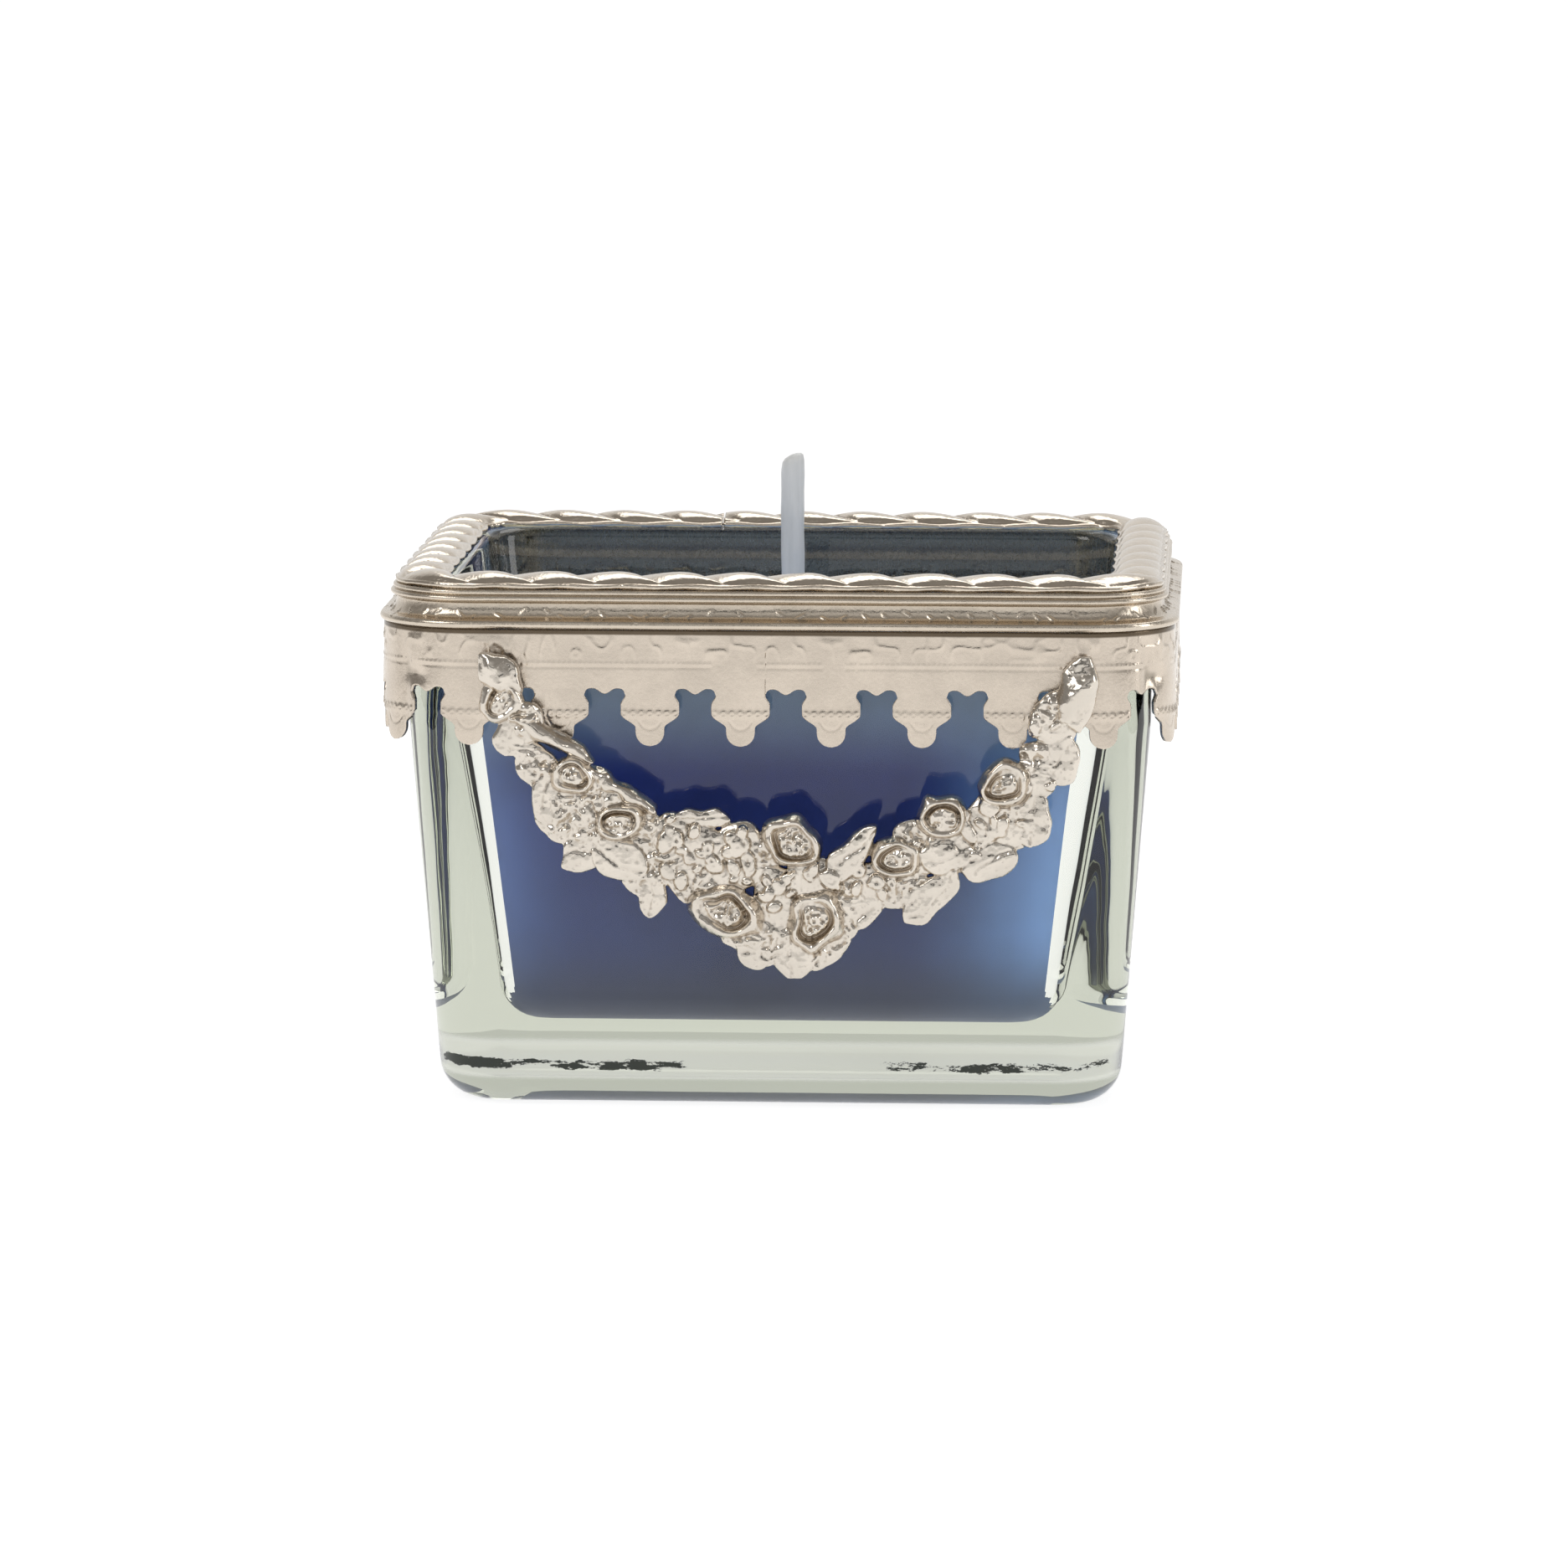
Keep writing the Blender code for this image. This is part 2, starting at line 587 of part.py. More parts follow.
def build_all():
    """Build every piece of the candle."""
    clear_scene()
    glass = make_material("pale_green_glass", (0.80, 0.84, 0.78), 0.03, transmission=0.95)
    wax = make_material("blue_wax", (0.09, 0.14, 0.31), 0.35)
    waxed_cotton = make_material("waxed_cotton", (0.75, 0.76, 0.78), 0.45)
    tin = make_material("tin", (0.55, 0.55, 0.56), 0.35, metallic=1.0)
    adhesive = make_material("adhesive", (0.85, 0.82, 0.70), 0.6)
    rope_silver = make_material("rope_silver", (0.80, 0.72, 0.63), 0.18, metallic=1.0)
    moulding_silver = make_material("moulding_silver", (0.76, 0.68, 0.58), 0.2, metallic=1.0)
    skirt_silver = make_material("skirt_silver", (0.66, 0.57, 0.48), 0.3, metallic=1.0)
    garland_silver = make_material("garland_silver", (0.74, 0.68, 0.61), 0.22, metallic=1.0)
    solder = make_material("solder", (0.6, 0.58, 0.55), 0.4, metallic=1.0)
    build_glass(glass)
    build_wax(wax)
    build_wick(waxed_cotton)
    build_sustainer(tin)
    build_sticker(adhesive)
    build_rope(rope_silver)
    build_moulding(moulding_silver)
    build_skirt(skirt_silver)
    build_garland(garland_silver)
    for name, place in SOLDER_PLACES.items():
        build_solder(name, place, solder)


build_all()
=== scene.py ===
"""Finished looks for the rectangular glass candle with its silver collar and rose garland."""

import math

import bmesh
import bpy
import numpy as np
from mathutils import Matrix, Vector


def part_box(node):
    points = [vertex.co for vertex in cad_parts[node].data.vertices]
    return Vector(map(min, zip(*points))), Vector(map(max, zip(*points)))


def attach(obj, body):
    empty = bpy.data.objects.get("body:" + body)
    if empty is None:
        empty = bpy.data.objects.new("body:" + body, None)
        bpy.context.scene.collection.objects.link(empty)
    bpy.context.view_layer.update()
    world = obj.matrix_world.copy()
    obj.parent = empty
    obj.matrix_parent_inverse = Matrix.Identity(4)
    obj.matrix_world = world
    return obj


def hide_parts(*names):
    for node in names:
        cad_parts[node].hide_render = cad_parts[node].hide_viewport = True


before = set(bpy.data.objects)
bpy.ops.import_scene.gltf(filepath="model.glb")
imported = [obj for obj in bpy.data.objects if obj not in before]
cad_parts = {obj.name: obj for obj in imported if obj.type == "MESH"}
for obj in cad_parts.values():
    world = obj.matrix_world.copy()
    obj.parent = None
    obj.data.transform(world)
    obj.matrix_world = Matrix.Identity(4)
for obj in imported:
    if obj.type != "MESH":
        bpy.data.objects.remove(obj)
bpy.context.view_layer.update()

MM = 0.001
TURN = 2 * math.pi
RANDOM_SEED = 11

# Sizes that come from the frame.
GLASS_LOW, GLASS_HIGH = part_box("glass_cup")
WAX_LOW, WAX_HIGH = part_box("wax_fill")
WICK_LOW, WICK_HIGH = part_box("wick")
ROPE_LOW, ROPE_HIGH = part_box("rope_rim")
MOULD_LOW, MOULD_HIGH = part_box("moulding_band")
SKIRT_LOW, SKIRT_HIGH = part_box("lambrequin_skirt")
GARLAND_LOW, GARLAND_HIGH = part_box("garland")

# The collar follows a core rectangle; every outline is an offset of it with round corners.
BEAD_REACH = 11.6 * MM
CORE_X = MOULD_HIGH[0] - BEAD_REACH
CORE_Y = MOULD_HIGH[1] - BEAD_REACH

ROPE_HALF_WIDTH = 3.15 * MM
ROPE_CENTRE = ROPE_HIGH[0] - CORE_X - ROPE_HALF_WIDTH - 0.15 * MM
ROPE_LOBES = 39
ROPE_LEAN = 0.8
ROPE_STATIONS_PER_LOBE = 28
ROPE_ACROSS_STEPS = 40
ROPE_LIP_SHARE = 0.13
ROPE_LIP_HEIGHT = 0.30
ROPE_VALLEY_DEPTH = 0.72
ROPE_UNDERCUT = 0.1 * MM
ROPE_SEAM_X = -10.4 * MM
SEAM_GAP = 0.25 * MM

SKIRT_REACH = SKIRT_HIGH[0] - CORE_X
SKIRT_FLARE = 0.3 * MM
TAB_COUNT = 30
TAB_SHIFT = 1.45 * MM
TAB_ROOT_Z = 51.2 * MM
NOTCH_HALF_WIDTH = 2.45 * MM
SKIRT_SHEET = 0.6 * MM
SKIRT_BAND_ROWS = 44
SKIRT_TAB_ROWS = 34
RELIEF_UP = 0.12 * MM
RELIEF_DOWN = 0.2 * MM


def track(distance, offset):
    """Positions and outward directions along the offset path; zero is the middle of the front."""
    arc = math.pi / 2 * offset
    legs = [CORE_X, arc, 2 * CORE_Y, arc, 2 * CORE_X, arc, 2 * CORE_Y, arc, CORE_X]
    starts = np.concatenate([[0.0], np.cumsum(legs)])
    left = np.mod(distance, starts[-1])
    leg = np.clip(np.searchsorted(starts, left, side="right") - 1, 0, len(legs) - 1)
    along = left - starts[leg]
    corners = np.array([
        (0, -CORE_Y),
        (CORE_X, -CORE_Y), (CORE_X, -CORE_Y),
        (CORE_X, CORE_Y), (CORE_X, CORE_Y),
        (-CORE_X, CORE_Y), (-CORE_X, CORE_Y),
        (-CORE_X, -CORE_Y), (-CORE_X, -CORE_Y),
    ])
    runs = np.array([(1, 0), (0, 0), (0, 1), (0, 0), (-1, 0), (0, 0), (0, -1), (0, 0), (1, 0)])
    base = corners[leg] + runs[leg] * along[..., None]
    quarter_turns = np.array([0, 0, 1, 1, 2, 2, 3, 3, 4])[leg]
    bend = np.where(leg % 2 == 1, along / offset, 0.0)
    heading = -math.pi / 2 + quarter_turns * math.pi / 2 + bend
    return base[..., 0], base[..., 1], np.cos(heading), np.sin(heading)


def path_length(offset):
    """Length round the core rectangle at an offset."""
    return 4 * (CORE_X + CORE_Y) + TURN * offset


def stand_up(distance, reference, offset, z):
    """3-D points from distances along the path, offsets outwards and heights."""
    x, y, out_x, out_y = track(distance, reference)
    return np.stack([x + out_x * offset, y + out_y * offset, z + 0 * x], axis=-1)


def add_object(name, mesh, material):
    """Put a finished mesh into the scene in one material."""
    mesh.materials.append(material)
    added = bpy.data.objects.new(name, mesh)
    bpy.context.scene.collection.objects.link(added)
    return added


def add_mesh(name, points, faces, material, body):
    """Make a piece from arrays of points and equal-sided faces and hang it on a body."""
    mesh = bpy.data.meshes.new(name)
    faces = np.asarray(faces, dtype=np.int32)
    count, sides = faces.shape
    mesh.vertices.add(len(points))
    mesh.vertices.foreach_set("co", np.asarray(points, dtype=np.float32).ravel())
    mesh.loops.add(count * sides)
    mesh.loops.foreach_set("vertex_index", faces.ravel())
    mesh.polygons.add(count)
    mesh.polygons.foreach_set("loop_start", np.arange(0, count * sides, sides, dtype=np.int32))
    mesh.polygons.foreach_set("loop_total", np.full(count, sides, dtype=np.int32))
    mesh.polygons.foreach_set("use_smooth", np.full(count, True))
    mesh.update(calc_edges=True)
    mesh.validate()
    piece = add_object(name, mesh, material)
    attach(piece, body)
    return piece


def grid_faces(rows, columns, wrap_rows=False, wrap_columns=False, flip=False):
    """Quads of a grid whose points are numbered row by row."""
    row_count = rows if wrap_rows else rows - 1
    column_count = columns if wrap_columns else columns - 1
    row, column = np.meshgrid(np.arange(row_count), np.arange(column_count), indexing="ij")
    next_row = (row + 1) % rows
    next_column = (column + 1) % columns
    quads = [row * columns + column, row * columns + next_column,
             next_row * columns + next_column, next_row * columns + column]
    if flip:
        quads.reverse()
    return np.stack([quad.ravel() for quad in quads], axis=-1)


def value_noise(x, y, seed):
    """Smooth repeatable noise between -1 and 1 on a plane."""
    generator = np.random.default_rng(seed)
    size = 64
    lattice = generator.uniform(-1, 1, (size, size))
    x0 = np.floor(x).astype(int)
    y0 = np.floor(y).astype(int)
    fx = x - x0
    fy = y - y0
    fx = fx * fx * (3 - 2 * fx)
    fy = fy * fy * (3 - 2 * fy)
    low = lattice[x0 % size, y0 % size] * (1 - fx) + lattice[(x0 + 1) % size, y0 % size] * fx
    high = lattice[x0 % size, (y0 + 1) % size] * (1 - fx) + lattice[(x0 + 1) % size, (y0 + 1) % size] * fx
    return low * (1 - fy) + high * fy


# ---------------------------------------------------------------- materials


class Recipe:
    """A node material under construction."""

    def __init__(self, name):
        self.material = bpy.data.materials.new(name)
        self.material.use_nodes = True
        self.nodes = self.material.node_tree.nodes
        self.links = self.material.node_tree.links
        self.shader = self.nodes["Principled BSDF"]
        self.place = self.nodes.new("ShaderNodeTexCoord")

    def set(self, **values):
        """Set the shader's own sockets, spaces written as underscores."""
        for key, value in values.items():
            self.shader.inputs[key.replace("_", " ")].default_value = value

    def noise(self, scale, detail=4.0, roughness=0.55, stretch=None):
        """A noise field in object space, scale in cycles per metre."""
        node = self.nodes.new("ShaderNodeTexNoise")
        node.inputs["Scale"].default_value = scale
        node.inputs["Detail"].default_value = detail
        node.inputs["Roughness"].default_value = roughness
        source = self.place.outputs["Object"]
        if stretch:
            mapping = self.nodes.new("ShaderNodeMapping")
            mapping.inputs["Scale"].default_value = stretch
            self.links.new(source, mapping.inputs["Vector"])
            source = mapping.outputs["Vector"]
        self.links.new(source, node.inputs["Vector"])
        return node.outputs["Fac"]

    def axis(self, name):
        """One object coordinate."""
        node = self.nodes.new("ShaderNodeSeparateXYZ")
        self.links.new(self.place.outputs["Object"], node.inputs[0])
        return node.outputs[name]

    def ramp(self, source, stops):
        """A colour ramp; each stop is a position and a colour or grey level."""
        node = self.nodes.new("ShaderNodeValToRGB")
        ramp = node.color_ramp
        while len(ramp.elements) < len(stops):
            ramp.elements.new(0.5)
        for element, (position, colour) in zip(ramp.elements, stops):
            element.position = position
            grey = isinstance(colour, (int, float))
            element.color = (colour, colour, colour, 1) if grey else (*colour, 1)
        self.links.new(source, node.inputs[0])
        return node.outputs["Color"]

    def spread(self, source, low, high, out_low=0.0, out_high=1.0):
        """Map a range of a value onto another, easing in and out."""
        node = self.nodes.new("ShaderNodeMapRange")
        node.interpolation_type = "SMOOTHSTEP"
        for key, value in zip(("From Min", "From Max", "To Min", "To Max"), (low, high, out_low, out_high)):
            node.inputs[key].default_value = value
        self.links.new(source, node.inputs["Value"])
        return node.outputs["Result"]

    def math(self, operation, first, second):
        """Combine two values."""
        node = self.nodes.new("ShaderNodeMath")
        node.operation = operation
        for socket, value in zip(node.inputs, (first, second)):
            if isinstance(value, (int, float)):
                socket.default_value = value
            else:
                self.links.new(value, socket)
        return node.outputs[0]

    def mix(self, share, first, second):
        """Mix two colours."""
        node = self.nodes.new("ShaderNodeMix")
        node.data_type = "RGBA"
        self.links.new(share, node.inputs["Factor"])
        for socket, value in ((node.inputs["A"], first), (node.inputs["B"], second)):
            if isinstance(value, tuple):
                socket.default_value = (*value, 1)
            else:
                self.links.new(value, socket)
        return node.outputs["Result"]

    def feed(self, socket, source):
        """Link a source to a shader socket."""
        self.links.new(source, self.shader.inputs[socket])

    def bump(self, height, distance, strength=1.0):
        """Bump from a height field, distance in metres."""
        node = self.nodes.new("ShaderNodeBump")
        node.inputs["Distance"].default_value = distance
        node.inputs["Strength"].default_value = strength
        self.links.new(height, node.inputs["Height"])
        self.links.new(node.outputs["Normal"], self.shader.inputs["Normal"])


# Inner faces of the collar: partly unplated metal, partly painted shade where they face the glass.
INSIDE_UNPLATED_AND_SHADE = (0.16, 0.14, 0.11)
# Colour of the painted shadow line in the gap under the moulding's bead.
PAINTED_SHADOW_LINE = (0.13, 0.10, 0.07)


def core_distance(recipe):
    """How far a point lies outside the collar's core rectangle, seen from above."""
    squares = []
    for name, half in (("X", CORE_X), ("Y", CORE_Y)):
        beyond = recipe.math("SUBTRACT", recipe.math("ABSOLUTE", recipe.axis(name), 0.0), half)
        beyond = recipe.math("MAXIMUM", beyond, 0.0)
        squares.append(recipe.math("MULTIPLY", beyond, beyond))
    return recipe.math("SQRT", recipe.math("ADD", *squares), 0.0)


def silver(name, bright, dull, roughness, grain, dents, tarnish_and_shade=0.5, inside_reach=None, shadow_line_above=None):
    """Warm plated silver: fine grain, soft dents and hollows darkened by tarnish and painted shade."""
    recipe = Recipe(name)
    recipe.set(Metallic=1.0)
    patches = recipe.noise(240.0)
    geometry = recipe.nodes.new("ShaderNodeNewGeometry")
    # Hollows found by pointiness get darker colour: partly tarnish, partly painted shade standing in for
    # occlusion.
    hollows = recipe.spread(geometry.outputs["Pointiness"], 0.44, 0.5)
    clean = recipe.mix(recipe.spread(patches, 0.35, 0.65), bright, tuple(0.92 * part for part in bright))
    stained_and_shaded = recipe.mix(recipe.spread(patches, 0.2, 0.8), dull, tuple(1.2 * part for part in dull))
    clean_and_lit_share = recipe.math("ADD", recipe.math("MULTIPLY", hollows, tarnish_and_shade), 1 - tarnish_and_shade)
    colour = recipe.mix(clean_and_lit_share, stained_and_shaded, clean)
    # Painted shade, partly unplated metal: faces turned in towards the glass go dark.
    if inside_reach:
        outside = recipe.spread(core_distance(recipe), inside_reach, inside_reach + 0.3 * MM)
        colour = recipe.mix(outside, INSIDE_UNPLATED_AND_SHADE, colour)
    # Painted shadow: the skirt's top strip under the moulding's bead goes dark.
    if shadow_line_above:
        shadow_line = recipe.spread(recipe.axis("Z"), shadow_line_above, shadow_line_above + 0.25 * MM)
        colour = recipe.mix(shadow_line, colour, PAINTED_SHADOW_LINE)
    recipe.feed("Base Color", colour)
    fine = recipe.noise(2600.0, detail=2.0)
    recipe.feed("Roughness", recipe.spread(fine, 0.3, 0.7, roughness * 0.8, roughness * 1.25))
    soft = recipe.noise(420.0, detail=3.0)
    height = recipe.math("ADD", recipe.math("MULTIPLY", soft, dents), recipe.math("MULTIPLY", fine, grain))
    recipe.bump(height, 0.00012)
    return recipe.material


GLASS_PALE = (0.93, 0.945, 0.91)
GLASS_PALER = (0.96, 0.97, 0.945)
GLASS_CHILLED = (0.72, 0.74, 0.66)
# Colour of the painted dark reflection streaks.
GLASS_PAINTED_STREAK = (0.012, 0.018, 0.010)
GLASS_DEPTH = (0.919, 0.924, 0.903, 1)
GLASS_DENSITY = 100.0
STREAK_MIDDLE_X = 0.5 * MM


def level_band(recipe, low, high):
    """One between two heights, fading out over a pair of heights at each end."""
    up = recipe.axis("Z")
    return recipe.math("MULTIPLY", recipe.spread(up, *low), recipe.spread(up, *high, 1.0, 0.0))


def glass_material():
    """Pale green glass, faintly waved, with painted dark reflection streaks in a chilled band low on its
    front.
    """
    recipe = Recipe("pale_green_seedy_glass")
    recipe.set(IOR=1.5, Roughness=0.0)
    tint = recipe.noise(55.0, detail=2.0)
    pale = recipe.mix(tint, GLASS_PALE, GLASS_PALER)
    front = GLASS_LOW[1]
    on_front = recipe.spread(recipe.axis("Y"), front + 6 * MM, front + 12 * MM, 1.0, 0.0)
    low_band = level_band(recipe, (3.0 * MM, 4.2 * MM), (7.4 * MM, 9.0 * MM))
    low_band = recipe.math("MULTIPLY", low_band, on_front)
    # Painted reflection: ragged dark streaks on the front stand in for dark surroundings reflected inside
    # the foot.
    streak_band = level_band(recipe, (3.0 * MM, 5.1 * MM), (5.3 * MM, 7.9 * MM))
    beside = recipe.math("ABSOLUTE", recipe.math("ADD", recipe.axis("X"), -STREAK_MIDDLE_X), 0.0)
    off_middle = recipe.spread(beside, 7 * MM, 13 * MM)
    ragged = recipe.noise(230.0, detail=6.0, roughness=0.8, stretch=(0.35, 0.35, 1.1))
    streak_place = recipe.math("MULTIPLY", streak_band, off_middle)
    painted_streaks = recipe.math("MULTIPLY", streak_place, recipe.math("MULTIPLY", on_front, ragged))
    painted_streaks = recipe.spread(painted_streaks, 0.45, 0.48)
    chilled = recipe.math("MULTIPLY", low_band, recipe.math("SUBTRACT", 1.0, painted_streaks))
    pale = recipe.mix(chilled, pale, GLASS_CHILLED)
    recipe.feed("Base Color", recipe.mix(painted_streaks, pale, GLASS_PAINTED_STREAK))
    recipe.feed("Transmission Weight", recipe.spread(low_band, 0.0, 1.0, 1.0, 0.15))
    waves = recipe.noise(120.0, detail=2.0, stretch=(1.0, 1.0, 0.25))
    recipe.bump(waves, 0.00010, 0.5)
    depth = recipe.nodes.new("ShaderNodeVolumeAbsorption")
    depth.inputs["Color"].default_value = GLASS_DEPTH
    depth.inputs["Density"].default_value = GLASS_DENSITY
    recipe.links.new(depth.outputs["Volume"], recipe.nodes["Material Output"].inputs["Volume"])
    return recipe.material


def wax_material():
    """Blue wax with painted light: paler towards the top and the ends, where light shines through it,
    greyer at its foot.
    """
    recipe = Recipe("translucent_blue_wax")
    recipe.set(Roughness=0.45, IOR=1.43)
    across = recipe.axis("X")
    up = recipe.axis("Z")
    half = WAX_HIGH[0]
    # Painted light: the glow of light passing through the wax near its ends and its top.
    left_painted_glow = recipe.spread(across, -half, -half + 16 * MM, 1.0, 0.0)
    right_painted_glow = recipe.spread(across, half - 24 * MM, half - 4 * MM, 0.0, 1.0)
    top_painted_glow = recipe.spread(up, WAX_HIGH[2] - 14 * MM, WAX_HIGH[2] - 2 * MM, 0.0, 1.0)
    foot_grey = recipe.spread(up, WAX_LOW[2], WAX_LOW[2] + 12 * MM, 1.0, 0.0)
    patchy = recipe.spread(recipe.noise(60.0, detail=3.0), 0.3, 0.7, 0.85, 1.15)
    deep = recipe.mix(recipe.spread(up, WAX_LOW[2] + 10 * MM, WAX_LOW[2] + 32 * MM),
                      (0.040, 0.072, 0.260), (0.022, 0.052, 0.360))
    # The painted glow mixes in paler blues.
    colour = recipe.mix(recipe.math("MULTIPLY", left_painted_glow, 0.8), deep, (0.13, 0.23, 0.56))
    colour = recipe.mix(recipe.math("MULTIPLY", right_painted_glow, 0.95), colour, (0.24, 0.44, 0.90))
    colour = recipe.mix(recipe.math("MULTIPLY", top_painted_glow, 0.85), colour, (0.44, 0.64, 0.96))
    colour = recipe.mix(recipe.math("MULTIPLY", foot_grey, 0.8), colour, (0.060, 0.070, 0.095))
    shade = recipe.nodes.new("ShaderNodeMix")
    shade.data_type = "RGBA"
    shade.blend_type = "MULTIPLY"
    shade.inputs["Factor"].default_value = 1.0
    recipe.links.new(colour, shade.inputs["A"])
    recipe.links.new(patchy, shade.inputs["B"])
    recipe.feed("Base Color", shade.outputs["Result"])
    recipe.bump(recipe.noise(90.0, detail=1.0), 0.0001)
    return recipe.material


def wick_material():
    """Cotton under a smooth coat of grey-white wax."""
    recipe = Recipe("waxed_wick")
    recipe.set(Roughness=0.4, Coat_Weight=0.3)
    streaks = recipe.noise(900.0, stretch=(1.0, 1.0, 0.12))
    recipe.feed("Base Color", recipe.ramp(streaks, [(0.3, (0.66, 0.67, 0.66)), (0.7, (0.78, 0.78, 0.77))]))
    recipe.bump(streaks, 0.0002)
    return recipe.material


def plain_metal(name, colour, roughness):
    """Dull tin or solder, cloudy and lightly pitted."""
    recipe = Recipe(name)
    recipe.set(Metallic=1.0)
    cloud = recipe.noise(700.0)
    darker = tuple(0.75 * part for part in colour)
    recipe.feed("Base Color", recipe.mix(cloud, darker, colour))
    recipe.feed("Roughness", recipe.spread(cloud, 0.3, 0.7, roughness * 0.8, roughness * 1.2))
    recipe.bump(cloud, 0.0001)
    return recipe.material


def adhesive_material():
    """Yellowish adhesive with a grainy face."""
    recipe = Recipe("grainy_adhesive")
    recipe.set(Roughness=0.6)
    grain = recipe.noise(1500.0)
    recipe.feed("Base Color", recipe.mix(grain, (0.80, 0.74, 0.58), (0.90, 0.87, 0.76)))
    recipe.bump(grain, 0.0001)
    return recipe.material


# ---------------------------------------------------------------- glass, wax and wick

CORNER_STEPS = 14
FOOT_ROUND = 4.5 * MM
RIM_ROUND = 1.2 * MM
NECK_Z = 47.0 * MM
BASE_INSET = 3.7 * MM
CORNER_BASE = 8.0 * MM
CORNER_NECK = 9.5 * MM
CAVITY_FLOOR_Z = WAX_LOW[2] - 0.3 * MM
CAVITY_FLOOR_HALF = (33.6 * MM, 24.1 * MM)
CAVITY_RIM_HALF = (39.6 * MM, 30.1 * MM)
CAVITY_CORNER = 6.5 * MM
CAVITY_ROUND = 4.0 * MM
SIDE_STEPS = 10


def rectangle_ring(half_x, half_y, corner, z):
    """A level rectangle with round corners and evenly divided sides."""
    points = []
    signs = [(1, 1), (-1, 1), (-1, -1), (1, -1)]
    for quarter, (sign_x, sign_y) in enumerate(signs):
        for step in range(CORNER_STEPS + 1):
            angle = (quarter + step / CORNER_STEPS) * math.pi / 2
            points.append((sign_x * (half_x - corner) + corner * math.cos(angle),
                           sign_y * (half_y - corner) + corner * math.sin(angle)))
        next_x, next_y = signs[(quarter + 1) % 4]
        last = points[-1]
        heading = (quarter + 1) * math.pi / 2
        goal = (next_x * (half_x - corner) + corner * math.cos(heading),
                next_y * (half_y - corner) + corner * math.sin(heading))
        for step in range(1, SIDE_STEPS):
            share = step / SIDE_STEPS
            points.append((last[0] + (goal[0] - last[0]) * share, last[1] + (goal[1] - last[1]) * share))
    ring = np.array(points)
    return np.column_stack([ring, np.full(len(ring), z)])


def glass_ring(z, inset=0.0):
    """Outside of the glass."""
    share = min(z / NECK_Z, 1.0)
    narrowing = BASE_INSET * (1 - share)
    corner = CORNER_BASE + (CORNER_NECK - CORNER_BASE) * share
    half_x = GLASS_HIGH[0] - narrowing - inset
    half_y = GLASS_HIGH[1] - narrowing - inset
    return rectangle_ring(half_x, half_y, corner - inset, z)


def cavity_ring(z, inset=0.0):
    """Inside of the glass."""
    share = (z - CAVITY_FLOOR_Z) / (GLASS_HIGH[2] - CAVITY_FLOOR_Z)
    half_x = CAVITY_FLOOR_HALF[0] + (CAVITY_RIM_HALF[0] - CAVITY_FLOOR_HALF[0]) * share
    half_y = CAVITY_FLOOR_HALF[1] + (CAVITY_RIM_HALF[1] - CAVITY_FLOOR_HALF[1]) * share
    return rectangle_ring(half_x - inset, half_y - inset, CAVITY_CORNER - inset, z)


def quarter(count):
    """Angles of a quarter turn."""
    return [math.pi / 2 * step / count for step in range(count + 1)]


def shrink(ring, share):
    """A ring drawn in towards its middle."""
    middle = ring.mean(axis=0)
    return middle + (ring - middle) * share


def loft(name, rings, material, body):
    """Join rings into one closed body, its first and last ring closed by a fan of triangles."""
    points = np.concatenate(rings)
    size = len(rings[0])
    faces = grid_faces(len(rings), size, wrap_columns=True)
    first_middle = len(points)
    points = np.concatenate([points, [rings[0].mean(axis=0)], [rings[-1].mean(axis=0)]])
    index = np.arange(size)
    following = (index + 1) % size
    last_row = (len(rings) - 1) * size
    start_cap = np.stack([following, index, np.full(size, first_middle)], axis=-1)
    end_cap = np.stack([last_row + index, last_row + following, np.full(size, first_middle + 1)], axis=-1)
    mesh = bpy.data.meshes.new(name)
    mesh.from_pydata(points.tolist(), [], faces.tolist() + start_cap.tolist() + end_cap.tolist())
    mesh.polygons.foreach_set("use_smooth", [True] * len(mesh.polygons))
    mesh.update()
    piece = add_object(name, mesh, material)
    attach(piece, body)
    return piece


def make_glass():
    """The cup: foot, walls, rolled rim and the cavity with its rounded floor."""
    foot = [glass_ring(FOOT_ROUND * (1 - math.sin(a)), FOOT_ROUND * (1 - math.cos(a)))
            for a in reversed(quarter(10))]
    base = [shrink(foot[0], share) for share in (0.02, 0.3, 0.6, 0.85)]
    walls = [glass_ring(FOOT_ROUND + (NECK_Z - FOOT_ROUND) * step / 24) for step in range(1, 25)]
    rim_z = GLASS_HIGH[2] - RIM_ROUND
    outer_rim = [glass_ring(rim_z + RIM_ROUND * math.sin(a), RIM_ROUND * (1 - math.cos(a)))
                 for a in quarter(5)]
    inner_rim = [cavity_ring(rim_z + RIM_ROUND * math.sin(a), -RIM_ROUND * (1 - math.cos(a)))
                 for a in reversed(quarter(5))]
    wall_z = np.linspace(rim_z, CAVITY_FLOOR_Z + CAVITY_ROUND, 16)[1:-1]
    inner_walls = [cavity_ring(z) for z in wall_z]
    floor_round = [cavity_ring(CAVITY_FLOOR_Z + CAVITY_ROUND * (1 - math.sin(a)),
                               CAVITY_ROUND * (1 - math.cos(a)))
                   for a in quarter(8)]
    floor = [shrink(floor_round[-1], share) for share in (0.85, 0.5, 0.02)]
    rings = base + foot + walls + outer_rim + inner_rim + inner_walls + floor_round + floor
    glass = loft("glass_cup_seedy", rings, glass_material(), "candle")
    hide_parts("glass_cup")
    return glass


WAX_BITE = 0.12 * MM
WAX_SIDE_GAP = 0.12 * MM


def wax_ring(z, inset=0.0):
    """Outline of the wax: it wets the front and back walls and has shrunk away from the end walls."""
    ring = cavity_ring(z, inset)
    half_x = ring[:, 0].max()
    half_y = ring[:, 1].max()
    ring[:, 0] *= (half_x - WAX_SIDE_GAP) / half_x
    ring[:, 1] *= (half_y + WAX_BITE) / half_y
    return ring


